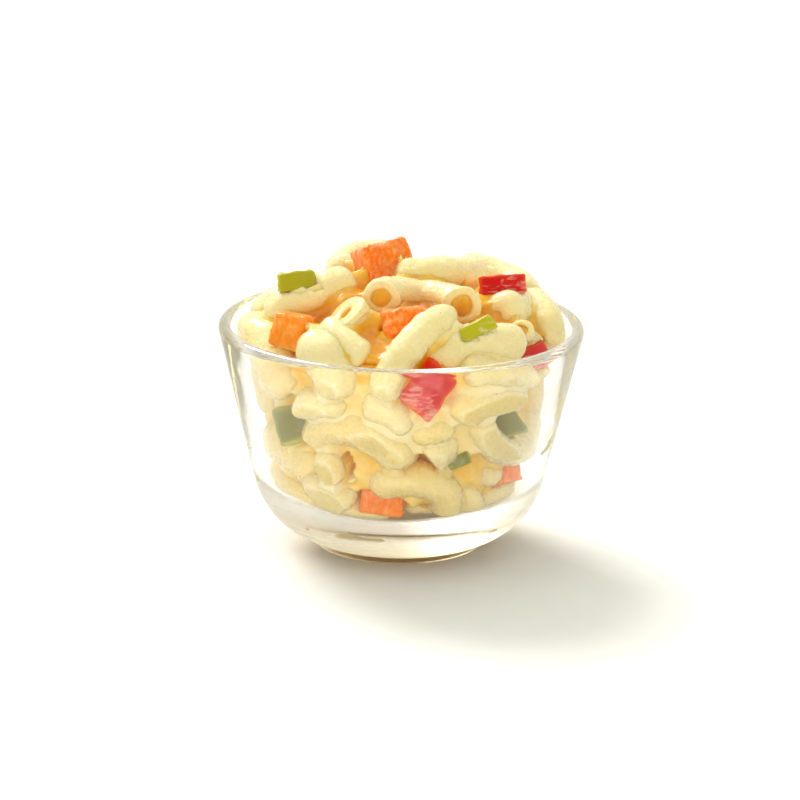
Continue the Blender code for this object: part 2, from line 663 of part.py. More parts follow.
def dice_mesh(name, piece, grow):
    """A rough-cut dice, grown by a margin on each side; a curled one is bent along its width."""
    axes, size, curl = piece.shape
    rng = np.random.default_rng(int(1000 * size.sum()))
    shape = bmesh.new()
    bmesh.ops.create_cube(shape, size=1.0)
    for vert in shape.verts:
        cut = 1 - rng.uniform(0.0, DICE_UNEVEN, 3)
        vert.co = Vector([c * s * k for c, s, k in zip(vert.co, size, cut)])
    long_edges = [e for e in shape.edges if abs(e.verts[0].co.x - e.verts[1].co.x) > size[0] / 2]
    if curl:
        bmesh.ops.subdivide_edges(shape, edges=long_edges, cuts=DICE_CUTS)
        bend(shape, size, math.radians(curl))
    bmesh.ops.bevel(
        shape,
        geom=[e for e in shape.edges if e.calc_face_angle(0.0) > SHARP],
        offset=DICE_BEVEL * min(size),
        segments=1,
        affect="EDGES",
    )
    bmesh.ops.recalc_face_normals(shape, faces=shape.faces)
    shape.normal_update()
    for vert, step in [(vert, vert.normal * grow * vert.calc_shell_factor()) for vert in shape.verts]:
        vert.co += step
    mesh = bpy.data.meshes.new(name)
    shape.to_mesh(mesh)
    shape.free()
    turn = Matrix([list(row) for row in axes.T]).to_4x4()
    mesh.transform(Matrix.Translation(piece.middle * MM) @ turn @ Matrix.Scale(MM, 4))
    return mesh


def bend(shape, size, curl):
    """Bends along X, and lifts the middle so that the box of the dice still holds it."""
    radius = size[0] / curl
    drop = radius * (1 - math.cos(curl / 2))
    for vert in shape.verts:
        turn = vert.co.x / radius
        height = vert.co.z * (1 - drop / size[2] * CURL_FLATTENS)
        vert.co.x = math.sin(turn) * (radius + height)
        vert.co.z = (radius + height) * math.cos(turn) - radius + drop / 2


def boolean(obj, operation, helpers):
    """Joins or cuts with everything in the helper collection, and removes the helpers."""
    modifier = obj.modifiers.new(operation.lower(), "BOOLEAN")
    modifier.operation = operation
    modifier.operand_type = "COLLECTION"
    modifier.collection = helpers
    modifier.solver = "MANIFOLD"
    mesh = evaluated_mesh(obj)
    obj.modifiers.clear()
    obj.data = mesh
    for helper in list(helpers.objects):
        bpy.data.objects.remove(helper, do_unlink=True)
    bpy.data.collections.remove(helpers)


def keep_outer_shell(obj):
    """Fills sealed hollows and drops loose scraps: only the largest connected surface stays."""
    shape = bmesh.new()
    shape.from_mesh(obj.data)
    shape.verts.ensure_lookup_table()
    seen = set()
    shells = []
    for vert in shape.verts:
        if vert.index in seen:
            continue
        shell = []
        front = [vert]
        seen.add(vert.index)
        while front:
            at = front.pop()
            shell.append(at)
            for edge in at.link_edges:
                other = edge.other_vert(at)
                if other.index not in seen:
                    seen.add(other.index)
                    front.append(other)
        shells.append(shell)
    shells.sort(key=len)
    loose = [vert for shell in shells[:-1] for vert in shell]
    bmesh.ops.delete(shape, geom=loose, context="VERTS")
    bmesh.ops.dissolve_degenerate(shape, edges=shape.edges, dist=SHORTEST_EDGE * MM)
    bmesh.ops.triangulate(shape, faces=shape.faces)
    shape.to_mesh(obj.data)
    shape.free()


def make_heap(pieces, group):
    core = turned("heap_core", core_outline(), CORE_STEPS, group, "macaroni")
    heap = object_of("pasta_heap", evaluated_mesh(core), group, "macaroni")
    bpy.data.objects.remove(core, do_unlink=True)
    tubes = new_collection("tubes")
    for piece in pieces:
        if piece.kind == "macaroni" and piece.slid <= DEEPEST_FUSED:
            tube(piece, tubes)
    boolean(heap, "UNION", tubes)
    pockets = new_collection("pockets")
    for piece in pieces:
        if piece.kind != "macaroni":
            object_of("pocket", dice_mesh("pocket", piece, POCKET_GAP), pockets, piece.kind)
    boolean(heap, "DIFFERENCE", pockets)
    keep_outer_shell(heap)
    return heap


def make_dice(pieces, group):
    counts = {kind: 0 for kind in DICE_KINDS}
    for piece in pieces:
        if piece.kind == "macaroni":
            continue
        counts[piece.kind] += 1
        name = f"{piece.kind}_{counts[piece.kind]}"
        object_of(name, dice_mesh(name, piece, 0.0), group, piece.kind)


def main():
    clear_scene()
    salad = new_collection("pasta_salad")
    heap = Heap()
    place_front(heap)
    fill(heap)
    make_bowl(salad)
    make_heap(heap.pieces, salad)
    make_dice(heap.pieces, salad)


main()
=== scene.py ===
# Pasta salad in a small glass bowl: the looks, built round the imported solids.
# Lengths are millimetres until a mesh is made, and Blender metres from there.

import math
from functools import partial

import bmesh
import bpy
import numpy as np
from mathutils import Matrix, Vector, noise
from mathutils.bvhtree import BVHTree
from numpy.linalg import norm


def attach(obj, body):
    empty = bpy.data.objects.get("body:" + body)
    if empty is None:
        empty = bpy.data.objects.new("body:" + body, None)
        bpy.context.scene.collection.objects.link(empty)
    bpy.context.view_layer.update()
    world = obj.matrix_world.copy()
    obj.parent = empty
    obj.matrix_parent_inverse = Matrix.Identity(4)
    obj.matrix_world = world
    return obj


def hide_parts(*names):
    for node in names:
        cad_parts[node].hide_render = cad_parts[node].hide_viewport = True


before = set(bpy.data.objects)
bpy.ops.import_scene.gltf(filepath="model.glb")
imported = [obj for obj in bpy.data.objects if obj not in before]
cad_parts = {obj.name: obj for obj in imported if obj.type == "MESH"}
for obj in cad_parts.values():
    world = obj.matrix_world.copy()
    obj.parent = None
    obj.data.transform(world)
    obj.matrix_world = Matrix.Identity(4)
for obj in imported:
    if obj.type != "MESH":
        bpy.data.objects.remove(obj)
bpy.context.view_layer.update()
mm = 0.001
print("frame loaded,", len(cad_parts), "solids")


# Glass bowl: its inside is also what the salad lies against
bowl = {
    "rimRadius": 44.5,
    "rimTop": 55.3,
    "wall": 3.2,
    "wallFlare": 0.238,  # radius gained for each millimetre of height
    "bellyRadius": 20.1,
    "baseUnderside": 0.9,
    "footRadius": 21.2,
    "footWidth": 3.6,
    "footEdge": 0.4,
    "floor": 10.0,
    "floorCurve": 12.0,
    "turnSteps": 192,
    "arcPoints": 22,
}
wallTilt = math.atan(bowl["wallFlare"])
rimMiddle = (bowl["rimRadius"] - bowl["wall"] / 2, bowl["rimTop"] - bowl["wall"] / 2)


def outerRadius(z):
    return rimMiddle[0] + bowl["wall"] / 2 / math.cos(wallTilt) + (z - rimMiddle[1]) * bowl["wallFlare"]


def innerRadius(z):
    return outerRadius(z) - bowl["wall"] / math.cos(wallTilt)


def arcPoints(middle, radius, first, last, count):
    turns = np.linspace(first, last, count)
    return [(middle[0] + radius * math.cos(t), middle[1] + radius * math.sin(t)) for t in turns]


def cornerMiddle(underside, radius, wallRadius):
    height = underside + radius
    return wallRadius(height) - radius / math.cos(wallTilt), height


def floorOutline(count):
    middle = cornerMiddle(bowl["floor"], bowl["floorCurve"], innerRadius)
    return [(0.0, bowl["floor"])] + arcPoints(middle, bowl["floorCurve"], -math.pi / 2, -wallTilt, count)


def bowlOutline():
    belly = cornerMiddle(bowl["baseUnderside"], bowl["bellyRadius"], outerRadius)
    footTurn = -math.acos((bowl["footRadius"] - belly[0]) / bowl["bellyRadius"])
    footInside = bowl["footRadius"] - bowl["footWidth"]
    return (
        floorOutline(bowl["arcPoints"])
        + arcPoints(rimMiddle, bowl["wall"] / 2, math.pi - wallTilt, -wallTilt, bowl["arcPoints"])
        + arcPoints(belly, bowl["bellyRadius"], -wallTilt, footTurn, bowl["arcPoints"])
        + [
            (bowl["footRadius"], bowl["footEdge"]),
            (bowl["footRadius"] - bowl["footEdge"], 0.0),
            (footInside + bowl["footEdge"], 0.0),
            (footInside, bowl["baseUnderside"]),
            (0.0, bowl["baseUnderside"]),
        ]
    )


# Heap: the outline that every piece stays inside
heapShape = {
    "glassGap": 0.4,
    "domeFoot": 54.0,
    "domeTop": 73.2,
    "domeRadius": 40.5,
    "domeCrown": 1.8,
    "domeShoulder": 0.7,
    "floorPoints": 24,
    "outlinePoints": 90,
    "squash": 1.2,
}


def domeRadius(z):
    share = np.clip((z - heapShape["domeFoot"]) / (heapShape["domeTop"] - heapShape["domeFoot"]), 0.0, 1.0)
    return heapShape["domeRadius"] * (1 - share ** heapShape["domeCrown"]) ** heapShape["domeShoulder"]


def heapOutline():
    floor = floorOutline(heapShape["floorPoints"])
    across = [(r, bowl["floor"]) for r in np.linspace(0.0, floor[1][0], heapShape["floorPoints"])]
    heights = np.linspace(floor[-1][1], bowl["rimTop"], heapShape["outlinePoints"])
    wall = [(innerRadius(z), z) for z in heights]
    glass = np.array(across + floor[2:] + wall[1:])
    glass[:, 0] = np.minimum(glass[:, 0] - heapShape["glassGap"], domeRadius(glass[:, 1]))
    glass[:, 0] = np.maximum(glass[:, 0], 0.0)
    glass[:, 1] = np.maximum(glass[:, 1], bowl["floor"] + heapShape["glassGap"])
    heights = np.linspace(bowl["rimTop"], heapShape["domeTop"], heapShape["outlinePoints"])[1:]
    dome = np.stack([domeRadius(heights), heights], 1)
    return np.concatenate([glass, dome])


def unit(vector):
    return vector / norm(vector)


def fullTurns(count):
    return np.linspace(0, 2 * math.pi, count, endpoint=False)


def wayAlong(line):
    return np.concatenate([[0.0], np.cumsum(norm(np.diff(line, axis=0), axis=1))])


def lengthOf(line):
    return norm(np.diff(line, axis=0), axis=1).sum()


def radiusAndHeight(points):
    return np.stack([np.hypot(points[:, 0], points[:, 1]), points[:, 2]], 1)


def inwardNormals(line):
    along = np.gradient(line, axis=0)
    inward = np.stack([-along[:, 1], along[:, 0]], 1)
    return inward / np.maximum(norm(inward, axis=1, keepdims=True), 1e-9)


outline = heapOutline()
outlineInward = inwardNormals(outline)


def inwardAt(point):
    flat = np.array([math.hypot(point[0], point[1]), point[2]])
    normal = outlineInward[norm(outline - flat, axis=1).argmin()]
    turn = math.atan2(point[1], point[0])
    return np.array([normal[0] * math.cos(turn), normal[0] * math.sin(turn), normal[1]])


def depthUnderOutline(points):
    flat = radiusAndHeight(points)
    gaps = norm(flat[:, None] - outline[None], axis=2)
    side = outline[heapShape["floorPoints"] :]
    radius = np.interp(flat[:, 1], side[:, 1], side[:, 0])
    bottom = bowl["floor"] + heapShape["glassGap"]
    inside = (flat[:, 0] < radius) & (flat[:, 1] > bottom) & (flat[:, 1] < heapShape["domeTop"])
    return np.where(inside, 1, -1) * gaps.min(1)


# Eye: where the front of the heap is looked at from
eye = {
    "distance": 900.0,
    "pitch": math.radians(16.4),
    "roll": math.radians(0.93),
    "aim": 35.25,
    "pictureUp": 33.8,
    "reach": 60.0,
    "step": 0.25,
    "lens": 165.4,
}
sight = np.array([0.0, math.cos(eye["pitch"]), -math.sin(eye["pitch"])])
sightUp = np.array([0.0, math.sin(eye["pitch"]), math.cos(eye["pitch"])])
sightRight = np.array([1.0, 0.0, 0.0])
aimPoint = np.array([0.0, 0.0, eye["aim"]])
eyePoint = aimPoint - eye["distance"] * sight


def lineOfSight(right, up):
    up = up - eye["pictureUp"]
    across = right * math.cos(eye["roll"]) - up * math.sin(eye["roll"])
    above = right * math.sin(eye["roll"]) + up * math.cos(eye["roll"])
    point = aimPoint + across * sightRight + above * sightUp
    return point, unit(point - eyePoint)


def seenAt(right, up, behind, radius):
    point, direction = lineOfSight(right, up)
    steps = np.arange(-eye["reach"], eye["reach"], eye["step"])
    places = point + steps[:, None] * direction
    depths = depthUnderOutline(places)
    deep = np.nonzero(depths >= radius)[0]
    found = deep[0] if len(deep) else int(depths.argmax())
    return places[found] + behind * direction


# What shows from the front, nearest first: millimetres right, up and behind the surface.
# A macaroni has the start, middle and end of its centre line and its thickness. A dice has its middle,
# its width, height and depth, then its turn in the picture, turn to the side and curl in degrees.
frontPieces = {
    "red_pepper_rim": ((7.4, 34.8, 0), (9.5, 12.5, 3.4), -38, 0, 50),
    "green_pepper_left": ((-27.6, 27.2, 0), (8.0, 9.8, 4.2), 18, -12, 20),
    "green_pepper_right": ((27.8, 27.2, 0), (8.6, 8.0, 4.4), 22, 20, 20),
    "long_diagonal": ((11.8, 53.4, 0), (1.0, 45.4, 0), (-4.2, 35.0, 0), 8.0),
    "green_pepper_smear": ((18.8, 51.2, -1), (9.4, 4.0, 3.0), 28, 10, 40),
    "right_front": ((6.5, 43.2, 7), (16.0, 46.6, 0.5), (28.0, 47.4, 0), 9.6),
    "arch": ((-19.4, 25.2, 2), (-10.6, 28.0, 0), (1.0, 19.4, 0), 10.6),
    "hook": ((-5.8, 12.0, 0), (7.0, 13.4, 0), (10.6, 6.0, 0), 9.2),
    "carrot_low": ((-4.2, 6.4, 0), (11.4, 7.2, 5.0), -10, 0, 0),
    "left_rim": ((-37.0, 50.8, 0), (-31.2, 44.4, 0), (-26.6, 36.0, 0), 10.4),
    "carrot_left": ((-27.0, 50.9, 0), (9.6, 9.4, 7.0), -8, -15, 0),
    "stub_high": ((-13.6, 55.4, -3), (-11.4, 53.2, 0.5), (-8.8, 50.0, 5), 10.6),
    "left_front": ((-22.8, 47.6, 0), (-17.6, 43.4, 0), (-13.0, 36.6, 1), 10.2),
    "open_mouth": ((6.6, 20.4, 0), (9.2, 22.8, 0.8), (11.8, 24.2, 3.4), 9.6),
    "right_long": ((27.0, 35.6, 0), (19.4, 35.4, 0), (11.8, 30.4, 0), 9.4),
    "right_cup": ((18.6, 30.0, 0), (24.8, 22.0, 0), (32.2, 29.4, 0), 7.4),
    "leaf_end": ((-18.0, 22.6, 2), (-16.8, 19.0, 0), (-14.8, 14.8, 0), 5.6),
    "stub_low": ((-12.6, 18.0, 0), (-11.0, 17.2, 2), (-8.0, 16.8, 5), 9.0),
    "left_lower": ((-32.0, 26.0, 0), (-26.0, 21.2, 0), (-19.6, 16.6, 0), 10.0),
    "under_rim_left": ((-23.0, 32.8, 0), (-18.5, 33.6, 0), (-12.5, 33.4, 2), 7.6),
    "under_rim_middle": ((-8.0, 35.0, 3), (-3.0, 32.0, 1), (2.0, 28.5, 1), 7.8),
    "under_rim_patch": ((-16.0, 37.6, 2), (-12.0, 36.4, 2), (-7.4, 36.2, 4), 7.0),
    "carrot_top": ((-4.0, 67.0, -8), (13.4, 12.2, 10.0), 14, 24, 0),
    "two_mouths": ((-5.0, 58.6, 0), (5.2, 58.8, 9), (15.2, 57.2, 0), 9.4),
    "top_flat": ((-0.6, 65.0, 0), (8.5, 64.4, 0), (17.0, 64.8, 0), 8.8),
    "red_pepper_top": ((24.9, 61.8, -1), (12.2, 5.8, 4.2), 6, 10, 35),
    "right_round": ((24.4, 55.0, 0), (26.4, 55.6, 2.5), (28.4, 56.8, 7), 10.4),
    "carrot_middle": ((0.8, 52.6, 0), (11.6, 8.0, 8.0), 6, 10, 0),
    "green_pepper_top": ((-25.4, 62.8, -14), (10.0, 5.4, 6.0), 6, 15, 15),
    "left_top": ((-31.6, 54.4, 0), (-22.0, 58.8, 0), (-12.8, 63.2, 0.5), 9.8),
    "top_arc": ((14.5, 64.8, 12), (23.5, 63.8, 8), (29.2, 58.2, 4), 9.4),
    "carrot_right": ((27.4, 15.9, 0), (9.4, 7.6, 6.4), 12, 20, 0),
    "red_pepper_right": ((35.3, 42.4, 0), (11.6, 6.8, 3.8), 28, 40, 25),
    "right_under_rim": ((15.0, 41.0, 1), (22.0, 41.5, 1), (29.0, 39.5, 1.5), 7.4),
    "right_rim": ((32.0, 57.0, 4), (35.8, 52.5, 0), (36.8, 46.5, 0), 8.6),
    "behind_left_front": ((-17.5, 51.5, 4), (-12.5, 47.0, 3), (-8.0, 43.5, 4), 7.4),
    "left_edge": ((-37.0, 42.0, 0), (-34.6, 36.0, 0), (-32.6, 31.0, 1), 8.4),
    "bottom_left": ((-29.0, 14.4, 0), (-24.0, 10.6, 0), (-18.5, 7.4, 0), 8.4),
    "small_patch": ((-20.5, 15.0, 2), (-15.0, 11.6, 0), (-11.2, 9.0, 0), 7.2),
    "bottom_front": ((-16.5, 6.4, 0), (-9.5, 4.6, 0), (-2.5, 3.6, 0), 7.6),
    "bottom_middle": ((1.0, 5.5, 5), (4.0, 6.0, 4), (8.0, 5.5, 5), 6.8),
    "green_pepper_gap": ((13.8, 19.6, 2), (6.2, 3.6, 3.4), 24, 0, 20),
    "under_pepper": ((2.0, 26.5, 2), (6.5, 27.5, 1.5), (12.0, 28.0, 2.5), 7.0),
    "right_stub": ((8.5, 17.6, 8), (15.5, 17.4, 3), (22.0, 16.4, 2), 7.8),
    "bottom_right": ((16.0, 6.0, 1), (21.5, 9.0, 0), (26.0, 12.5, 0), 8.0),
    "bottom_right_inner": ((13.5, 12.5, 6), (16.0, 9.5, 3), (17.0, 6.0, 3), 6.8),
    "right_edge": ((35.0, 40.0, 0), (36.5, 34.0, 0), (35.5, 28.0, 1), 7.0),
    "left_behind": ((-35.0, 53.5, 6), (-31.0, 57.0, 6), (-25.0, 60.0, 7), 8.6),
    "behind_top_dice": ((-12.4, 64.6, 8), (-8.8, 68.4, 8), (-1.0, 69.6, 9), 8.6),
    "small_mouth": ((29.8, 51.0, 1), (30.5, 50.0, 5), (32.5, 47.0, 12), 5.2),
    "carrot_edge": ((-37.5, 43.5, 2), (8.0, 8.4, 6.8), 20, -60, 0),
    "red_pepper_under": ((-1.0, 61.8, 10), (8.0, 3.4, 3.0), -5, 0, 20),
}

# Packing: how the pieces press against each other, and how the unseen rest is filled
packing = {
    "straight": 1.0,
    "aside": (0.3, 0.2, 1.0),
    "near": 40.0,
    "slideStep": 0.5,
    "pullTries": 30,
    "pullClear": 0.1,
    "pullShare": 0.7,
    "diceSinks": 1.5,
    "mostPush": 6.0,
    "pushCost": 0.4,
    "linePoints": 13,
    "endShare": 0.3,
    "mostEndShare": 0.3,
    "endPoints": 8,
    "endCrosses": 0.2,
    "diceBallShare": 0.95,
    "diceRows": 1.4,
}
filling = {
    "seed": 2,
    "spacing": 3.5,
    "bare": 3.0,
    "tries": 7,
    "slide": 7.0,
    "overlap": 1.7,
    "thickness": (7.6, 10.4),
    "length": (17.0, 26.0),
    "bend": (60.0, 160.0),
    "roll": 0.5,
    "lean": 20.0,
    "diceWidth": (7.5, 11.5),
    "diceHeight": (6.5, 9.0),
    "carrotDepth": (6.5, 8.5),
    "pepperDepth": (3.6, 4.8),
    "pepperCurl": (15.0, 45.0),
    "frontShare": 0.35,
    "secondLayer": 5.0,
    "diceEvery": 3,
    "unseen": -0.15,
    "mostDice": 14,
    "diceApart": 14.0,
    "diceClearance": 1.2,
}
diceKinds = ("carrot", "red_pepper", "green_pepper")


def arcThrough(start, middle, end, count):
    toMiddle = middle - start
    toEnd = end - start
    normal = np.cross(toMiddle, toEnd)
    size = normal @ normal
    if size < packing["straight"]:
        return start + np.linspace(0, 1, count)[:, None] * toEnd
    offset = np.cross(normal, toMiddle) * (toEnd @ toEnd)
    offset += np.cross(toEnd, normal) * (toMiddle @ toMiddle)
    centre = start + offset / (2 * size)
    first = start - centre
    second = np.cross(normal / math.sqrt(size), first)
    sweep = math.atan2((end - centre) @ second, (end - centre) @ first) % (2 * math.pi)
    turns = np.linspace(0, sweep, count)[:, None]
    return centre + np.cos(turns) * first + np.sin(turns) * second


class Piece:
    # a macaroni or a dice, with the balls that stand for it while the heap is packed
    def __init__(self, kind, middle, balls, radius, extremes, margins, shape):
        self.kind = kind
        self.middle = middle
        self.balls = balls
        self.radius = radius
        self.extremes = extremes
        self.margins = margins
        self.shape = shape
        self.slid = 0.0
        self.name = ""
        self.order = 0

    def move(self, step):
        self.middle = self.middle + step
        self.balls = self.balls + step
        self.extremes = self.extremes + step
        if self.kind == "macaroni":
            self.shape = self.shape + step


def endRings(line, radius):
    turns = fullTurns(packing["endPoints"])[:, None]
    rings = []
    for end, before in ((line[0], line[1]), (line[-1], line[-2])):
        along = unit(end - before)
        side = unit(np.cross(along, packing["aside"]))
        rings.append(end + radius * (np.cos(turns) * side + np.sin(turns) * np.cross(along, side)))
    return np.concatenate(rings)


def macaroniPiece(line, thickness):
    radius = thickness / 2
    way = np.linspace(0.0, 1.0, len(line))
    length = lengthOf(line)
    short = min(packing["endShare"] * thickness / length, packing["mostEndShare"])
    innerWay = np.linspace(short, 1 - short, len(line))
    balls = np.stack([np.interp(innerWay, way, line[:, i]) for i in range(3)], 1)
    rings = endRings(line, radius)
    margins = np.concatenate([np.full(len(balls), radius), np.full(len(rings), -packing["endCrosses"])])
    extremes = np.concatenate([balls, rings])
    return Piece("macaroni", line[len(line) // 2], balls, radius, extremes, margins, line)


def dicePiece(kind, centre, axes, size, curl):
    half = np.array(size) / 2
    radius = half.min() * packing["diceBallShare"]
    counts = [int((h - radius) / radius * packing["diceRows"]) + 2 for h in half]
    rows = [np.linspace(radius - h, h - radius, n) for h, n in zip(half, counts)]
    grid = np.array(np.meshgrid(*rows)).reshape(3, -1).T
    corners = np.array(np.meshgrid((-1, 1), (-1, 1), (-1, 1))).reshape(3, -1).T * half
    shape = (axes, np.array(size, float), curl)
    return Piece(kind, centre, centre + grid @ axes, radius, centre + corners @ axes, np.zeros(8), shape)


class Heap:
    # the pieces placed so far
    def __init__(self):
        self.pieces = []
        self.balls = np.zeros((0, 3))
        self.radii = np.zeros(0)
        self.isDice = np.zeros(0, bool)

    def add(self, piece):
        piece.order = len(self.pieces)
        self.pieces.append(piece)
        self.balls = np.concatenate([self.balls, piece.balls])
        self.radii = np.concatenate([self.radii, np.full(len(piece.balls), piece.radius)])
        self.isDice = np.concatenate([self.isDice, np.full(len(piece.balls), piece.kind != "macaroni")])

    def overlaps(self, piece, steps):
        near = norm(self.balls - piece.middle, axis=1) < packing["near"]
        if not near.any():
            return np.zeros(len(steps))
        places = piece.balls[None, :, None] + steps[:, None, None]
        gaps = norm(places - self.balls[near], axis=3) - self.radii[near] - piece.radius
        margin = -filling["diceClearance"] - heapShape["squash"]
        if piece.kind == "macaroni":
            margin = packing["diceSinks"]
        gaps = gaps + np.where(self.isDice[near], margin, 0.0)
        return np.maximum(-gaps.min((1, 2)), 0.0)

    def slide(self, piece, direction, most, first=0.0):
        ways = np.arange(first, first + most + packing["slideStep"] / 2, packing["slideStep"])
        overlaps = self.overlaps(piece, ways[:, None] * direction)
        best = (np.maximum(overlaps - heapShape["squash"], 0.0) + packing["pushCost"] * ways).argmin()
        piece.move(ways[best] * direction)
        piece.slid = ways[best]
        return overlaps[best]


def pullInside(piece, freeAbove=np.inf):
    for _ in range(packing["pullTries"]):
        depths = depthUnderOutline(piece.extremes) - piece.margins
        depths[piece.extremes[:, 2] > freeAbove] = 0.0
        worst = depths.argmin()
        if depths[worst] >= 0:
            return
        step = (packing["pullClear"] - depths[worst]) * packing["pullShare"]
        piece.move(inwardAt(piece.extremes[worst]) * step)


def turnedAxes(turn, side):
    turn, side = math.radians(turn), math.radians(side)
    right = math.cos(turn) * sightRight + math.sin(turn) * sightUp
    up = -math.sin(turn) * sightRight + math.cos(turn) * sightUp
    across = math.cos(side) * right + math.sin(side) * sight
    return np.array([across, up, np.cross(across, up)])


def frontPiece(name, facts):
    if name.startswith(diceKinds):
        (right, up, behind), size, turn, side, curl = facts
        centre = seenAt(right, up, behind, size[2] / 2)
        piece = dicePiece(name.rsplit("_", 1)[0], centre, turnedAxes(turn, side), size, curl)
    else:
        *places, thickness = facts
        right, up, behind = places[1]
        ends = [seenAt(*place, thickness / 2) for place in places]
        piece = macaroniPiece(arcThrough(*ends, packing["linePoints"]), thickness)
    return piece, lineOfSight(right, up)[1]


def placeFront(heap):
    for name, facts in frontPieces.items():
        piece, direction = frontPiece(name, facts)
        pullInside(piece, bowl["rimTop"])
        heap.slide(piece, direction, packing["mostPush"])
        pullInside(piece, bowl["rimTop"])
        piece.name = name
        heap.add(piece)


def randomFrame(rng, inward):
    spin = rng.uniform(0, 2 * math.pi)
    side = unit(np.cross(inward, packing["aside"]))
    heading = math.cos(spin) * side + math.sin(spin) * np.cross(inward, side)
    lean = math.radians(rng.normal(0, filling["lean"]))
    heading = math.cos(lean) * heading + math.sin(lean) * inward
    return heading, unit(np.cross(heading, inward))


def randomMacaroni(rng, surface, inward):
    thickness = rng.uniform(*filling["thickness"])
    sweep = math.radians(rng.uniform(*filling["bend"]))
    radius = rng.uniform(*filling["length"]) / sweep
    heading, across = randomFrame(rng, inward)
    roll = rng.normal(0, filling["roll"])
    bend = math.cos(roll) * across + math.sin(roll) * np.cross(heading, across)
    turns = np.linspace(-sweep / 2, sweep / 2, packing["linePoints"])[:, None]
    line = radius * (np.sin(turns) * heading + (np.cos(turns) - 1) * bend)
    return macaroniPiece(surface + inward * thickness / 2 + line - line.mean(0), thickness)


def randomDice(rng, surface, inward, kind):
    depth = rng.uniform(*(filling["carrotDepth"] if kind == "carrot" else filling["pepperDepth"]))
    size = (rng.uniform(*filling["diceWidth"]), rng.uniform(*filling["diceHeight"]), depth)
    heading, across = randomFrame(rng, inward)
    axes = np.array([heading, across, np.cross(heading, across)])
    curl = 0.0 if kind == "carrot" else rng.uniform(*filling["pepperCurl"])
    return dicePiece(kind, surface + inward * depth / 2, axes, size, curl)


def surfaceSamples():
    side = outline[heapShape["floorPoints"] :]
    way = wayAlong(side)
    spacing = filling["spacing"]
    places = []
    for number, at in enumerate(np.arange(spacing, way[-1], spacing)):
        radius = np.interp(at, way, side[:, 0])
        height = np.interp(at, way, side[:, 1])
        count = max(3, round(2 * math.pi * radius / spacing))
        turns = (np.arange(count) + number % 2 / 2) * 2 * math.pi / count
        places.append(np.stack([radius * np.cos(turns), radius * np.sin(turns), np.full(count, height)], 1))
    return np.concatenate(places)


def fillHeap(heap):
    rng = np.random.default_rng(filling["seed"])
    samples = surfaceSamples()
    inwards = np.array([inwardAt(sample) for sample in samples])
    first = np.where(inwards @ sight > filling["frontShare"], filling["secondLayer"], 0.0)
    targets = samples + inwards * first[:, None]
    gaps = np.full(len(samples), np.inf)
    for ball, radius in zip(heap.balls, heap.radii):
        gaps = np.minimum(gaps, norm(targets - ball, axis=1) - radius)
    fillDice = 0
    count = 0
    while gaps.max() > filling["bare"]:
        at = int(gaps.argmax())
        count += 1
        others = np.array([piece.middle for piece in heap.pieces if piece.kind != "macaroni"])
        apart = norm(others - samples[at], axis=1).min() > filling["diceApart"]
        wantsDice = count % filling["diceEvery"] == 0 and fillDice < filling["mostDice"]
        wantsDice = wantsDice and apart and inwards[at] @ sight < filling["unseen"]
        kind = diceKinds[count // filling["diceEvery"] % len(diceKinds)]
        best, least = None, np.inf
        for _ in range(filling["tries"]):
            make = randomDice if wantsDice else randomMacaroni
            piece = make(rng, samples[at], inwards[at], *([kind] if wantsDice else []))
            pullInside(piece)
            overlap = heap.slide(piece, inwards[at], 1.0 if wantsDice else filling["slide"], first[at])
            if overlap + packing["pushCost"] * piece.slid < least:
                best, least = piece, overlap + packing["pushCost"] * piece.slid
        if least > filling["overlap"] + packing["pushCost"] * best.slid:
            gaps[at] = 0.0
            continue
        heap.add(best)
        fillDice += best.kind != "macaroni"
        for ball in best.balls:
            gaps = np.minimum(gaps, norm(targets - ball, axis=1) - best.radius)
        gaps[at] = 0.0


salad = Heap()
placeFront(salad)
fillHeap(salad)
print("heap packed,", len(salad.pieces), "pieces")


# Colours and nodes
def linear(hexColour):
    parts = [int(hexColour[i : i + 2], 16) / 255 for i in (1, 3, 5)]
    return (*[c / 12.92 if c <= 0.04045 else ((c + 0.055) / 1.055) ** 2.4 for c in parts], 1.0)


def addNode(tree, kind, settings=None, links=None):
    # a link comes from a socket, or from a node's first output in use
    made = tree.nodes.new("ShaderNode" + kind)
    for key, value in (settings or {}).items():
        if str(value).startswith("#"):
            value = linear(value)
        if isinstance(key, int) or key in made.inputs:
            made.inputs[key].default_value = value
        else:
            setattr(made, key, value)
    for key, source in (links or {}).items():
        if hasattr(source, "outputs"):
            source = next(socket for socket in source.outputs if socket.enabled)
        tree.links.new(source, made.inputs[key])
    return made


def newMaterial(name):
    made = bpy.data.materials.new(name)
    made.use_nodes = True
    made.node_tree.nodes.clear()
    return made, partial(addNode, made.node_tree)


def setRamp(made, stops):
    ramp = made.color_ramp
    while len(ramp.elements) < len(stops):
        ramp.elements.new(0.5)
    for element, (place, colour) in zip(ramp.elements, stops.items()):
        element.position = place
        element.color = linear(colour)


def putInScene(name, data):
    obj = bpy.data.objects.new(name, data)
    bpy.context.scene.collection.objects.link(obj)
    return obj


def turnTo(obj, direction, front="Z"):
    obj.rotation_mode = "QUATERNION"
    obj.rotation_quaternion = Vector(direction).to_track_quat(front, "Y")


# Pieces are shown on the one body, in the place of the solids they stand for
def showPiece(name, points, faces, material, replaced, values=None):
    mesh = bpy.data.meshes.new(name)
    mesh.from_pydata((np.asarray(points) * mm).tolist(), [], faces)
    mesh.validate()
    for key, numbers in (values or {}).items():
        attribute = mesh.attributes.new(key, "FLOAT", "POINT")
        attribute.data.foreach_set("value", np.asarray(numbers, np.float32))
    mesh.materials.append(material)
    mesh.shade_smooth()
    obj = putInScene(name, mesh)
    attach(obj, "root")
    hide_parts(*replaced)
    return obj


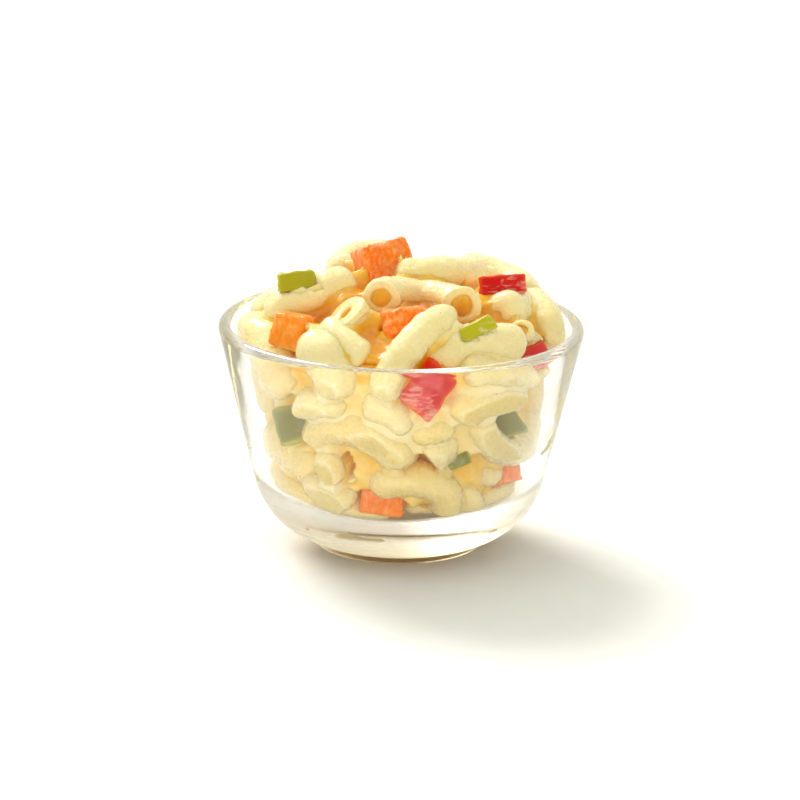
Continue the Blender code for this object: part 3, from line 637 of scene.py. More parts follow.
# Contact with the glass: food near the wall is pressed flat against it, and just into it
contact = {
    "fade": 6.0,  # from this far off nothing is pressed
    "freeTop": 3.0,  # the wall stops pressing this far under the rim
    "diceShare": 0.88,
    "diceBack": 0.12,
    "diceOver": 1.8,
    "profilePoints": 120,
    "floorPoints": 20,
}


def glassProfile():
    floor = floorOutline(contact["profilePoints"])
    across = [(r, bowl["floor"]) for r in np.linspace(0.0, floor[1][0], contact["floorPoints"])]
    heights = np.linspace(floor[-1][1], bowl["rimTop"] - bowl["wall"] / 2, contact["profilePoints"])
    wall = [(innerRadius(z), z) for z in heights]
    return np.array(across + floor[2:] + wall[1:])


glassLine = glassProfile()
glassInward = inwardNormals(glassLine)


def inParts(points, work, size=3000):
    return np.concatenate([work(points[i : i + size]) for i in range(0, len(points), size)])


def pressToGlass(points, press, reach):
    # what lies near the wall is pushed by press, and stops reach inside it
    flat = radiusAndHeight(points)
    nearest = inParts(flat, lambda part: norm(part[:, None] - glassLine, axis=2).argmin(1))
    normals = glassInward[nearest]
    depth = ((flat - glassLine[nearest]) * normals).sum(1)
    top = bowl["rimTop"] - bowl["wall"] / 2
    free = np.clip((top - flat[:, 1]) / contact["freeTop"], 0.0, 1.0)
    near = np.clip(1 - depth / contact["fade"], 0.0, 1.0) ** 2
    pressed = np.maximum(depth - press * near * free, -reach)
    pressed = np.where(free > 0, pressed, depth)
    flat = flat + (pressed - depth)[:, None] * normals
    turn = np.arctan2(points[:, 1], points[:, 0])
    return np.stack([flat[:, 0] * np.cos(turn), flat[:, 0] * np.sin(turn), flat[:, 1]], 1)


def glassGap(points):
    flat = radiusAndHeight(points)
    gaps = inParts(flat, lambda part: norm(part[:, None] - glassLine, axis=2).min(1))
    return np.where(flat[:, 1] > bowl["rimTop"] - bowl["wall"], contact["fade"], gaps)


def noiseAt(points, size, seed):
    shift = Vector((seed * 7.3, seed * 3.1, seed * 5.7))
    return np.array([noise.noise(Vector(p) / size + shift) for p in points])


def clearOfDice(points, dice, spread):
    # what would cover the face of a dice goes behind its middle instead
    points = points.copy()
    for piece in dice:
        axes, size, _ = piece.shape
        local = (points - piece.middle) @ axes.T
        half = size * contact["diceShare"] / 2
        back = -contact["diceBack"] * size[2]
        over = (np.abs(local[:, :2]) < half[:2] + spread).all(1)
        over &= (local[:, 2] > back) & (local[:, 2] < size[2] / 2 + contact["diceOver"])
        local[over, 2] = back
        points[over] = piece.middle + local[over] @ axes
    return points


# Macaroni: boiled elbows with thick soft walls; dressing closes most of their ends
elbow = {
    "sides": 30,
    "ringStep": 0.95,
    "bore": (0.42, 0.50),
    "boreDepth": 7.5,
    "lip": 0.75,  # rounding of the cut edges
    "lipSteps": 3,
    "capSteps": 6,
    "capShare": 0.72,  # a closed end is rounded over this share of the radius
    "dimple": 0.35,
    "dimpleShare": 0.6,
    "mostLip": 0.45,  # shares of the wall and of the length
    "mostBore": 0.42,
    "boreSteps": 4,
    "boreBottom": (0.3, 0.75),
    "boreEdge": 1.2,
    "slant": 0.14,  # how askew a cut end is
    "slantReach": 4.0,
    "oval": 0.05,
    "lumps": ((7.0, 0.60), (2.8, 0.36), (1.3, 0.16)),  # size and height of its unevenness
    "wobble": 0.45,
    "wobbleSize": 9.0,
    "press": 1.4,
    "reach": 0.07,
    "fitPower": 6,
    "finePoints": 60,
    "openOften": 0.4,  # share of the unseen ends that are open
    "byDice": 0.1,  # kept this far from a dice's sides
    "mouthPoints": 3,
    "seed": 4,
}
# which ends of the front pieces are open, and how wide their bores are
openEnds = {
    "two_mouths": ((True, True), 0.54),
    "stub_high": ((True, False), 0.3),
    "stub_low": ((True, False), 0.4),
    "open_mouth": ((True, False), 0.5),
    "small_mouth": ((True, True), 0.5),
}
# how far the cut is askew toward the eye
askew = {"stub_high": 0.7, "open_mouth": 0.5, "two_mouths": 0.15}


def fineLine(line):
    way = np.linspace(0, 1, len(line))
    fit = np.polynomial.polynomial.polyfit(way, line, elbow["fitPower"])
    return np.polynomial.polynomial.polyval(np.linspace(0, 1, elbow["finePoints"]), fit).T


def framesAlong(line):
    along = np.gradient(line, axis=0)
    along /= norm(along, axis=1, keepdims=True)
    side = np.cross(along[0], packing["aside"])
    sides = []
    for direction in along:
        side = unit(side - (side @ direction) * direction)
        sides.append(side)
    sides = np.array(sides)
    return along, sides, np.cross(along, sides)


def endProfile(length, radius, bore, isOpen):
    # distance from the cut and radius, from the middle of the end out to the tube's side
    if not isOpen:
        turns = np.linspace(0, math.pi / 2, elbow["capSteps"] + 1)
        size = radius * elbow["capShare"]
        flat = radius - size
        rounding = [(size * (1 - math.sin(t)), flat + size * math.cos(t)) for t in turns[::-1]]
        share = elbow["dimpleShare"]
        return [(elbow["dimple"], 0.0), (elbow["dimple"] * share, flat * share)] + rounding
    lip = min(elbow["lip"], (radius - bore) * elbow["mostLip"])
    deep = min(elbow["boreDepth"], length * elbow["mostBore"])
    back, narrow = elbow["boreBottom"]
    turns = np.linspace(0, math.pi / 2, elbow["lipSteps"] + 1)
    inside = [(deep, 0.0), (deep - bore * back, bore * narrow), (deep - bore, bore)]
    inside += [(x, bore) for x in np.linspace(deep - bore, lip, elbow["boreSteps"])[1:-1]]
    inner = [(lip - lip * math.sin(t), bore + lip - lip * math.cos(t)) for t in turns]
    outer = [(lip - lip * math.cos(t), radius - lip + lip * math.sin(t)) for t in turns]
    return inside + inner + outer


def tubeProfile(length, radius, bore, ends):
    first = endProfile(length, radius, bore, ends[0])
    last = [(length - x, r) for x, r in endProfile(length, radius, bore, ends[1])[::-1]]
    count = max(3, round((last[0][0] - first[-1][0]) / elbow["ringStep"]))
    side = [(x, radius) for x in np.linspace(first[-1][0], last[0][0], count + 1)[1:-1]]
    inBore = [0.0] * len(side)
    # how far into a bore each ring lies, from 0 at the lip to 1 at the bottom
    marks = []
    for isOpen, part, ring in ((ends[0], first, 1), (ends[1], last, -1)):
        edge = 0.0 if ring == 1 else length
        deepest = max(abs(x - edge) for x, r in part)
        marks.append([isOpen * (r < bore * elbow["boreEdge"]) * abs(x - edge) / deepest for x, r in part])
    return np.array(first + side + last), np.array(marks[0] + inBore + marks[1], float)


def sweepProfile(line, profile, sides, rng, seed, lumps, tilt):
    # the first and last points of the profile are on the axis, and become single points
    fine = fineLine(line)
    length = lengthOf(fine)
    way = profile[:, 0] / length * (len(fine) - 1)
    steps = np.arange(len(fine))
    parts = (fine, *framesAlong(fine))
    centre, along, side, across = (
        np.stack([np.interp(way, steps, part[:, i]) for i in range(3)], 1) for part in parts
    )
    turns = fullTurns(sides)
    oval = rng.uniform(-elbow["oval"], elbow["oval"], 2)
    slants = rng.uniform(-elbow["slant"], elbow["slant"], (2, 2))
    cosines = np.cos(turns) * (1 + oval[0])
    sines = np.sin(turns) * (1 + oval[1])
    shift = Vector((seed, 0, 0))
    wobble = np.array([noise.noise_vector(Vector(p) / elbow["wobbleSize"] + shift) for p in centre])
    centre = centre + elbow["wobble"] * wobble
    out = cosines[None, :, None] * side[:, None] + sines[None, :, None] * across[:, None]
    radii = profile[:, 1][:, None]
    points = centre[:, None] + radii[..., None] * out
    reach = elbow["slantReach"]
    facing = -(out @ sight)
    for slant, way, distance in zip(slants, (tilt, -tilt), (profile[:, 0], length - profile[:, 0])):
        near = np.clip(1 - distance / reach, 0, 1)[:, None]
        shift = near * radii * (slant[0] * cosines + slant[1] * sines + way * facing)
        points += shift[..., None] * along[:, None]
    flat = points.reshape(-1, 3)
    height = sum(high * noiseAt(flat, size, seed) for size, high in lumps).reshape(len(profile), sides)
    height = height * np.clip(radii, 0, 1)
    points = points + height[..., None] * out
    return np.concatenate([points[0, :1], points[1:-1].reshape(-1, 3), points[-1, :1]])


def tubeFaces(rings, sides, first):
    # rings counts the whole profile, with its two end points
    faces = []
    last = first + 1 + (rings - 2) * sides
    for k in range(sides):
        m = (k + 1) % sides
        faces.append((first, first + 1 + m, first + 1 + k))
        faces.append((last, last - sides + k, last - sides + m))
    for i in range(rings - 3):
        start = first + 1 + i * sides
        for k in range(sides):
            m = (k + 1) % sides
            faces.append((start + k, start + m, start + sides + m, start + sides + k))
    return faces


def macaroniMeshes(pieces, dice):
    rng = np.random.default_rng(elbow["seed"])
    noise.seed_set(elbow["seed"])  # else noise_vector changes from run to run
    fine = {"points": [], "faces": [], "tint": [], "bore": []}
    mouths = []
    count = 0
    for number, piece in enumerate(pieces):
        length = lengthOf(fineLine(piece.shape))
        bore = piece.radius * rng.uniform(*elbow["bore"])
        ends = tuple(rng.uniform(size=2) < elbow["openOften"])
        if piece.name:
            ends, share = openEnds.get(piece.name, ((False, False), 0.5))
            bore = piece.radius * share
        profile, inBore = tubeProfile(length, piece.radius, bore, ends)
        tilt = askew.get(piece.name, 0.0)
        swept = sweepProfile(piece.shape, profile, elbow["sides"], rng, number, elbow["lumps"], tilt)
        swept = pressToGlass(swept, elbow["press"], elbow["reach"])
        nearer = [other for other in dice if other.order < piece.order]
        swept = clearOfDice(swept, nearer, elbow["byDice"])
        fine["points"].append(swept)
        fine["faces"] += tubeFaces(len(profile), elbow["sides"], count)
        fine["tint"].append(np.full(len(swept), rng.uniform()))
        marks = np.concatenate([inBore[:1], np.repeat(inBore[1:-1], elbow["sides"]), inBore[-1:]])
        fine["bore"].append(marks)
        count += len(swept)
        line = fineLine(piece.shape)
        near = elbow["mouthPoints"]
        for isOpen, end, before in zip(ends, (line[0], line[-1]), (line[near], line[-1 - near])):
            if isOpen:
                mouths.append((end, unit(end - before), piece.radius))
    joined = {key: np.concatenate(fine[key]) for key in ("points", "tint", "bore")}
    return joined, fine["faces"], mouths


# Dressing: what a ball rolled over the pieces can't reach is full of it
cream = {
    "step": 0.62,  # between rings
    "turnSteps": 384,
    "ball": 2.6,
    "mostCells": 12,
    "above": 3.0,  # the pieces are looked for from this far outside the heap
    "deepest": 14.0,
    "bottom": 7.0,  # gaps are this deep, more or less
    "bottomByGlass": 5.8,
    "lessPaintedShadeByGlass": 0.7,  # the dressing's painted depth shade is weaker by the glass, where it is lit from all round
    "glassFade": 6.0,
    "bottomUneven": 2.4,
    "bottomSize": 8.0,
    "sink": 0.5,
    "sinkFade": 0.25,
    "swell": 0.55,
    "swellSize": 7.0,
    "swellMiddle": 0.35,
    "swellGain": 1.8,
    "swellFade": 0.8,
    "bumps": ((2.4, 0.3), (1.1, 0.12)),
    "reach": 0.02,
    "diceBlurs": 3,
    "leastBeside": 0.01,
    "mostOut": -0.5,
    "mouthClear": 6.0,
    "mouthBack": 1.0,
    "mouthShare": 0.95,
    "mouthStep": 0.4,
    "mouthTries": 12,
}


def dressingGrid():
    way = wayAlong(outline)
    count = round(way[-1] / cream["step"])
    places = np.linspace(0, way[-1], count + 1)[1:-1]
    line = np.stack([np.interp(places, way, outline[:, i]) for i in range(2)], 1)
    inward = np.stack([np.interp(places, way, outlineInward[:, i]) for i in range(2)], 1)
    inward /= norm(inward, axis=1, keepdims=True)
    turns = fullTurns(cream["turnSteps"])

    def turned(flat):
        across = flat[:, None, 0]
        high = np.broadcast_to(flat[:, None, 1], (len(flat), len(turns)))
        return np.stack([across * np.cos(turns), across * np.sin(turns), high], 2)

    return line, turned(line), turned(inward)


def ballPass(depths, widths, filling):
    # one pass of a closing: the depth at which a ball's middle, then its skin, comes to rest
    radius = cream["ball"]
    rows = int(radius / cream["step"])
    best = np.full(depths.shape, np.inf)
    for up in range(-rows, rows + 1):
        taken = np.clip(np.arange(len(depths)) + up, 0, len(depths) - 1)
        for side in range(-cream["mostCells"], cream["mostCells"] + 1):
            off = (side * widths) ** 2 + (up * cream["step"]) ** 2
            if (off >= radius**2).all():
                continue
            drop = np.where(off < radius**2, radius - np.sqrt(np.maximum(radius**2 - off, 0)), np.inf)
            best = np.minimum(best, np.roll(filling * depths[taken], side, 1) + drop[:, None])
    return filling * best


def blurred(values):
    across = (np.roll(values, 1, 1) + values + np.roll(values, -1, 1)) / 3
    last = len(values) - 1
    return (across[np.r_[0, :last]] + across + across[np.r_[1:len(values), last]]) / 3


def dressingMesh(hidden, firstDiceFace, mouths):
    line, surface, inward = dressingGrid()
    shape = surface.shape[:2]
    points, faces = hidden
    tree = BVHTree.FromPolygons(points.tolist(), faces)
    hit = np.full(shape, cream["deepest"])
    onDice = np.zeros(shape, bool)
    for i in range(shape[0]):
        for k in range(shape[1]):
            start = surface[i, k] - inward[i, k] * cream["above"]
            _, _, face, distance = tree.ray_cast(start, inward[i, k], cream["deepest"])
            if distance is not None:
                hit[i, k] = distance - cream["above"]
                onDice[i, k] = face >= firstDiceFace
    bare = hit
    flat = surface.reshape(-1, 3)
    above = np.clip((line[:, 1] - bowl["rimTop"] + cream["glassFade"]) / cream["glassFade"], 0, 1)
    bottom = cream["bottomByGlass"] + (cream["bottom"] - cream["bottomByGlass"]) * above[:, None]
    bottom = bottom + cream["bottomUneven"] * noiseAt(flat, cream["bottomSize"], 5).reshape(shape)
    hit = np.where(onDice, hit, np.minimum(hit, bottom))
    widths = line[:, 0] * 2 * math.pi / cream["turnSteps"]
    closed = ballPass(ballPass(hit, widths, 1), widths, -1)
    fill = np.maximum(hit - closed, 0)
    inGap = np.clip(np.maximum(fill, (hit == bottom) * 1.0) / cream["swellFade"], 0, 1)
    depths = closed + cream["sink"] * np.exp(-fill / cream["sinkFade"]) * (hit < bottom)
    swell = cream["swellGain"] * noiseAt(flat, cream["swellSize"], 9).reshape(shape)
    swell = cream["swell"] * np.clip(cream["swellMiddle"] + swell, 0, 1)
    for size, high in cream["bumps"]:
        swell = swell + high * noiseAt(flat, size, 11).reshape(shape)
    depths = depths - swell * inGap
    # beside a dice it slopes down gently, and the face of the dice stays bare
    beside = onDice.astype(float)
    for _ in range(cream["diceBlurs"]):
        beside = blurred(beside)
        depths = np.where(onDice, np.maximum(depths, bare + cream["sink"]), depths)
        depths = np.where(beside > cream["leastBeside"], blurred(depths), depths)
    depths = np.where(onDice, np.maximum(depths, bare + cream["sink"] / 2), depths)
    # a step down beside a piece is kept inside the piece
    for shifted in (np.roll(depths, 1, 1), np.roll(depths, -1, 1)):
        depths = np.maximum(depths, shifted)
    depths = np.maximum(depths, np.maximum(depths[np.r_[0, :shape[0] - 1]], depths[np.r_[1:shape[0], -1]]))
    least = -heapShape["glassGap"] - cream["reach"]
    least = np.where(line[:, 1] < bowl["rimTop"] - bowl["wall"], least, cream["mostOut"])
    depths = np.maximum(depths, least[:, None])
    for end, along, radius in mouths:
        for _ in range(cream["mouthTries"]):
            local = surface + inward * depths[..., None] - end
            ahead = local @ along
            off = norm(local - ahead[..., None] * along, axis=2)
            inside = (ahead > -cream["mouthBack"]) & (ahead < cream["mouthClear"])
            inside &= off < radius * cream["mouthShare"]
            depths[inside] += cream["mouthStep"]
    body = (surface + inward * depths[..., None]).reshape(-1, 3)
    ends = [(0, 0, bowl["floor"] + heapShape["glassGap"]), (0, 0, body[-1][2])]
    points = np.concatenate([ends[:1], body, ends[1:]])
    return points, tubeFaces(shape[0] + 2, shape[1], 0)


# Dice: cut vegetables, uneven boxes with rounded edges
cut = {
    "uneven": 0.24,
    "rounding": 0.19,
    "cells": 18,
    "flattens": 0.6,
    "smoothSkin": 0.55,
    "press": 0.9,
    "reach": 0.05,
    "ripeElse": 0.3,
    "ripe": {"carrot_left": 1.0, "carrot_low": 0.7, "green_pepper_smear": 1.0, "green_pepper_top": 0.8},
}


def diceGrid(cells):
    # a cube of quads, welded, with points from -0.5 to 0.5
    shape = bmesh.new()
    bmesh.ops.create_cube(shape, size=1.0)
    bmesh.ops.subdivide_edges(shape, edges=shape.edges, cuts=cells - 1, use_grid_fill=True)
    bmesh.ops.recalc_face_normals(shape, faces=shape.faces)
    points = np.array([vert.co for vert in shape.verts])
    faces = [tuple(vert.index for vert in face.verts) for face in shape.faces]
    shape.free()
    return points, faces


def cornerCuts(size):
    # the same draws as the solid's, in the same order as its cube's corners
    rng = np.random.default_rng(int(1000 * size.sum()))
    shape = bmesh.new()
    bmesh.ops.create_cube(shape, size=1.0)
    cuts = {}
    for vert in shape.verts:
        key = tuple(int(c > 0) for c in vert.co)
        cuts[key] = 1 - rng.uniform(0.0, cut["uneven"], 3)
    shape.free()
    return cuts


def diceShape(piece, relief, seed):
    axes, size, curl = piece.shape
    grid, faces = diceGrid(cut["cells"])
    box = grid * size
    radius = cut["rounding"] * size.min()
    inner = np.clip(box, -(size / 2 - radius), size / 2 - radius)
    out = box - inner
    out /= np.maximum(norm(out, axis=1, keepdims=True), 1e-9)
    box = inner + out * radius
    share = box / size + 0.5
    cuts = cornerCuts(size)
    scale = np.zeros_like(box)
    for key, factor in cuts.items():
        weight = np.ones(len(box))
        for i in range(3):
            weight = weight * (share[:, i] if key[i] else 1 - share[:, i])
        scale += weight[:, None] * factor
    box = box * scale
    skin = np.clip((share[:, 2] - 0.5) * 2, 0, 1)
    edge = 1 - np.clip((0.5 - np.abs(share[:, :2] - 0.5)).min(1) * 8, 0, 1)
    roughness = 1 - cut["smoothSkin"] * skin if curl else np.ones(len(box))
    for reliefSize, height in relief:
        box = box + out * (height * noiseAt(box, reliefSize, seed) * roughness)[:, None]
    if curl:
        turnRadius = size[0] / math.radians(curl)
        drop = turnRadius * (1 - math.cos(math.radians(curl) / 2))
        turn = box[:, 0] / turnRadius
        height = box[:, 2] * (1 - drop / size[2] * cut["flattens"])
        box = np.stack([
            np.sin(turn) * (turnRadius + height),
            box[:, 1],
            (turnRadius + height) * np.cos(turn) - turnRadius + drop / 2,
        ], 1)
    return piece.middle + box @ axes, faces, skin, edge


def withWetRim(add, colour, strength):
    # food that touches the glass has a pale line round the patch that touches
    gap = add("Attribute", {"attribute_name": "gap"}).outputs["Fac"]
    off = add("Math", {"operation": "SUBTRACT", 1: 0.3}, {0: gap})
    size = add("Math", {"operation": "ABSOLUTE"}, {0: off})
    line = add(
        "MapRange", {"From Min": 0.05, "From Max": 0.2, "To Min": strength, "To Max": 0.0}, {"Value": size}
    )
    mixed = add("Mix", {"data_type": "RGBA", 7: "#FFF6DA"}, {0: line, 6: colour})
    touches = add("MapRange", {"From Min": 0.1, "From Max": 0.6, "To Max": 0.45}, {"Value": gap})
    return mixed, touches


def pasta():
    # durum wheat pasta, pushed through a smooth die and boiled: silky, a little translucent, pale yellow;
    # the golden to brown shade deep in the heap, in its creases and inside its bores is painted into its
    # colour
    made, add = newMaterial("boiledDurumWheatPasta")
    place = add("NewGeometry")
    deep, tint, bore = (
        add("Attribute", {"attribute_name": mark}).outputs["Fac"] for mark in ("depth", "tint", "bore")
    )
    cloud = add("TexNoise", {"Scale": 1 / (7 * mm), "Detail": 3.0}, {"Vector": place})
    mixed = add("Math", {"operation": "MULTIPLY_ADD", 1: 0.6}, {0: cloud, 2: tint})
    pale = add("ValToRGB", links={"Fac": mixed})
    setRamp(pale, {0.3: "#FDDF8E", 1.0: "#FDE8AA"})
    # painted shade: pasta lying deeper under the heap's surface is turned a deep golden orange, for the
    # shade down between the pieces
    sink = add("MapRange", {"From Min": 4.0, "From Max": 11.0}, {"Value": deep})
    paintedDepthShade = add("Mix", {"data_type": "RGBA", 7: "#EFA010"}, {0: sink, 6: pale})
    # painted shade: inside an open end the colour darkens from yellow to brown the deeper it lies in the
    # bore
    inBore = add("ValToRGB", links={"Fac": bore})
    setRamp(inBore, {0.1: "#F6CC40", 0.5: "#E89A00", 0.95: "#B85400"})
    isBore = add("MapRange", {"From Min": 0.04, "From Max": 0.25}, {"Value": bore})
    paintedDepthAndBoreShade = add("Mix", {"data_type": "RGBA"}, {0: isBore, 6: paintedDepthShade, 7: inBore})
    # painted shade: where the macaroni close in on each other the colour turns golden
    openness = add("AmbientOcclusion", {"samples": 6, "only_local": True, "Distance": 5.0 * mm})
    shade = add(
        "MapRange", {"From Min": 0.7, "From Max": 0.2, "To Max": 0.75}, {"Value": openness.outputs["AO"]}
    )
    paintedCreaseShade = add("Mix", {"data_type": "RGBA", 7: "#F2BE14"}, {0: shade, 6: paintedDepthAndBoreShade})
    fleck = add("TexVoronoi", {"Scale": 1 / (3.2 * mm)}, {"Vector": place})
    near = add("Math", {"operation": "LESS_THAN", 1: 0.055}, {0: fleck})
    split = add("SeparateColor", links={"Color": fleck.outputs["Color"]})
    rare = add("Math", {"operation": "GREATER_THAN", 1: 0.8}, {0: split})
    spot = add("Math", {"operation": "MULTIPLY"}, {0: near, 1: rare})
    base = add("Mix", {"data_type": "RGBA", 7: "#D08A38"}, {0: spot, 6: paintedCreaseShade})
    ripple = add("TexNoise", {"Scale": 1 / (1.1 * mm), "Detail": 6.0, "Roughness": 0.65}, {"Vector": place})
    crease = add(
        "TexNoise",
        {"noise_type": "RIDGED_MULTIFRACTAL", "Scale": 1 / (5.5 * mm), "Detail": 3.0, "Distortion": 0.6},
        {"Vector": place},
    )
    patch = add("MapRange", {"From Min": 0.5, "From Max": 0.66}, {"Value": cloud})
    ridges = add("Math", {"operation": "MULTIPLY"}, {0: crease, 1: patch})
    milky = add("Math", {"operation": "MULTIPLY_ADD", 1: 0.7}, {0: ripple, 2: ridges})
    film = add("MapRange", {"From Min": 0.3, "From Max": 1.5, "To Max": 0.75}, {"Value": milky})
    filmed = add("Mix", {"data_type": "RGBA", 7: "#FFF3D0"}, {0: film, 6: base})
    rimmed, wet = withWetRim(add, filmed, 0.35)
    grain = add("MapRange", {"From Min": 0.35, "From Max": 0.68}, {"Value": ripple})
    relief = add("Math", {"operation": "MULTIPLY_ADD", 1: 0.9}, {0: ridges, 2: grain})
    bump = add("Bump", {"Strength": 0.65, "Distance": 0.3 * mm}, {"Height": relief})
    rough = add("MapRange", {"To Min": 0.16, "To Max": 0.42}, {"Value": grain})
    shader = add(
        "BsdfPrincipled",
        {
            "IOR": 1.42,
            "Subsurface Weight": 0.5, "Subsurface Radius": (1.0, 0.85, 0.35),
            "Subsurface Scale": 1.3 * mm, "Coat Roughness": 0.12,
        },
        {"Base Color": rimmed, "Roughness": rough, "Normal": bump, "Coat Weight": wet},
    )
    add("OutputMaterial", links={"Surface": shader})
    return made


def mayonnaise():
    # salad dressing, oil beaten into egg and mustard: opaque cream with a wet gloss; the shade where it
    # lies deep between the pieces is painted into its colour, golden to dark orange
    made, add = newMaterial("mustardMayonnaise")
    place = add("NewGeometry")
    deep = add("Attribute", {"attribute_name": "depth"}).outputs["Fac"]
    curd = add("TexNoise", {"Scale": 1 / (2.4 * mm), "Detail": 4.0}, {"Vector": place})
    # painted shade: the deeper the dressing lies, the more its colour goes from cream to dark orange
    uneven = add("Math", {"operation": "MULTIPLY_ADD", 1: 3.0}, {0: curd, 2: deep})
    ramp = add("MapRange", {"From Min": 1.0, "From Max": 11.0}, {"Value": uneven})
    colour = add("ValToRGB", links={"Fac": ramp})
    setRamp(colour, {0.1: "#FBE8B4", 0.28: "#F8DC8C", 0.45: "#F2C43C", 0.68: "#EAA00A", 0.95: "#CE6A00"})
    rimmed, wet = withWetRim(add, colour, 0.6)
    bump = add("Bump", {"Strength": 0.5, "Distance": 0.35 * mm}, {"Height": curd})
    shader = add(
        "BsdfPrincipled",
        {
            "Roughness": 0.3, "IOR": 1.46,
            "Subsurface Weight": 0.5, "Subsurface Radius": (1.0, 0.85, 0.4),
            "Subsurface Scale": 0.9 * mm, "Coat Roughness": 0.1,
        },
        {"Base Color": rimmed, "Normal": bump, "Coat Weight": wet},
    )
    add("OutputMaterial", links={"Surface": shader})
    return made


def carrotFlesh():
    # boiled carrot, cut with a knife: fibrous matt faces, deep orange with paler veins
    made, add = newMaterial("boiledCarrot")
    place = add("NewGeometry")
    stretched = add("Mapping", {"Scale": (1.0, 1.0, 0.35), "Rotation": (0.5, 0.4, 0.0)}, {"Vector": place})
    fibre = add(
        "TexNoise", {"Scale": 1 / (0.9 * mm), "Detail": 5.0, "Roughness": 0.65}, {"Vector": stretched}
    )
    colour = add("ValToRGB", links={"Fac": fibre})
    setRamp(colour, {0.32: "#FA5400", 0.5: "#FF7A08", 0.66: "#FFB468"})
    film = add("TexNoise", {"Scale": 1 / (1.3 * mm), "Detail": 5.0}, {"Vector": place})
    filmed = add("MapRange", {"From Min": 0.52, "From Max": 0.8, "To Max": 0.6}, {"Value": film})
    base = add("Mix", {"data_type": "RGBA", 7: "#FBD0A0"}, {0: filmed, 6: colour})
    tint = add("Attribute", {"attribute_name": "tint"}).outputs["Fac"]
    share = add("Math", {"operation": "MULTIPLY", 1: 0.55}, {0: tint})
    ripe = add("Mix", {"data_type": "RGBA", 7: "#FFA010"}, {0: share, 6: base})
    rimmed, wet = withWetRim(add, ripe, 0.06)
    bump = add("Bump", {"Strength": 0.6, "Distance": 0.35 * mm}, {"Height": fibre})
    shader = add(
        "BsdfPrincipled",
        {
            "Roughness": 0.42, "IOR": 1.4, "Specular IOR Level": 0.25,
            "Subsurface Weight": 0.3, "Subsurface Radius": (1.0, 0.45, 0.1),
            "Subsurface Scale": 1.2 * mm, "Coat Roughness": 0.2,
        },
        {"Base Color": rimmed, "Normal": bump, "Coat Weight": wet},
    )
    add("OutputMaterial", links={"Surface": shader})
    return made


def pepperSkin(name, skinDark, skinLight, skinRipe, flesh, film):
    # bell pepper: a smooth waxy skin on one side, pale wet flesh on the cut edges and the back
    made, add = newMaterial(name)
    place = add("NewGeometry")
    skin, edge, tint = (
        add("Attribute", {"attribute_name": mark}).outputs["Fac"] for mark in ("skin", "edge", "tint")
    )
    cloud = add("TexNoise", {"Scale": 1 / (3.0 * mm), "Detail": 3.0}, {"Vector": place})
    skinColour = add("Mix", {"data_type": "RGBA", 6: skinDark, 7: skinLight}, {0: cloud})
    skinTinted = add("Mix", {"data_type": "RGBA", 7: skinRipe}, {0: tint, 6: skinColour})
    onSkin = add("MapRange", {"From Min": 0.55, "From Max": 0.8}, {"Value": skin})
    rim = add("Math", {"operation": "MULTIPLY_ADD", 1: -0.8, 2: 1.0}, {0: edge})
    share = add("Math", {"operation": "MULTIPLY"}, {0: onSkin, 1: rim})
    base = add("Mix", {"data_type": "RGBA", 6: flesh}, {0: share, 7: skinTinted})
    # pale streaks along the skin: partly dressing film, partly a painted highlight
    brushed = add("Mapping", {"Scale": (1.0, 0.6, 3.2), "Rotation": (0.3, 0.6, 0.4)}, {"Vector": place})
    filmAndHighlightStreak = add(
        "TexNoise", {"Scale": 1 / (2.6 * mm), "Detail": 5.0, "Roughness": 0.6, "Distortion": 0.5},
        {"Vector": brushed},
    )
    where = add("TexNoise", {"Scale": 1 / (9 * mm), "Detail": 1.0}, {"Vector": place})
    summed = add("Math", {"operation": "MULTIPLY_ADD", 1: 0.9}, {0: where, 2: filmAndHighlightStreak})
    filmed = add("MapRange", {"From Min": 1.0, "From Max": 1.2, "To Max": 0.65}, {"Value": summed})
    filmAndPaintedHighlight = add("Mix", {"data_type": "RGBA", 7: film}, {0: filmed, 6: base})
    rimmed, wet = withWetRim(add, filmAndPaintedHighlight, 0.04)
    bump = add("Bump", {"Strength": 0.25, "Distance": 0.25 * mm}, {"Height": cloud})
    shader = add(
        "BsdfPrincipled",
        {
            "Roughness": 0.28, "IOR": 1.45, "Specular IOR Level": 0.25,
            "Subsurface Weight": 0.2, "Subsurface Radius": (1.0, 0.4, 0.2),
            "Subsurface Scale": 1.2 * mm, "Coat Roughness": 0.1,
        },
        {"Base Color": rimmed, "Normal": bump, "Coat Weight": wet},
    )
    add("OutputMaterial", links={"Surface": shader})
    return made


def pressedGlass():
    # soda lime glass, pressed in a mould and fire polished: clear, and milky in its thick foot; there a
    # warm tan, darker towards the floor, is painted for the salad's colour and the shade under the bowl
    # seen through it
    made, add = newMaterial("pressedSodaLimeGlass")
    place = add("NewGeometry")
    wave = add("TexNoise", {"Scale": 1 / (14 * mm), "Detail": 1.0}, {"Vector": place})
    bump = add("Bump", {"Strength": 0.12, "Distance": 0.5 * mm}, {"Height": wave})
    split = add("SeparateXYZ", links={"Vector": place})
    high = add("MapRange", {"From Min": 1 * mm, "From Max": 15 * mm}, {"Value": split.outputs["Z"]})
    soft = add(
        "MapRange", {"From Min": 6 * mm, "From Max": 15 * mm, "To Min": 0.3, "To Max": 0.0},
        {"Value": split.outputs["Z"]},
    )
    # painted shade: the thick foot is coloured warm tan, darker towards the floor
    paintedFootShade = add("ValToRGB", links={"Fac": high})
    setRamp(paintedFootShade, {0.0: "#C4A868", 0.3: "#ECDAAC", 1.0: "#FFFFFF"})
    shader = add(
        "BsdfPrincipled", {"IOR": 1.5, "Transmission Weight": 1.0},
        {"Base Color": paintedFootShade, "Roughness": soft, "Normal": bump},
    )
    clear = add("BsdfTransparent", {"Color": "#F7F4EF"})
    shadow = add("LightPath").outputs["Is Shadow Ray"]
    mixed = add("MixShader", links={0: shadow, 1: shader, 2: clear})
    add("OutputMaterial", links={"Surface": mixed})
    return made


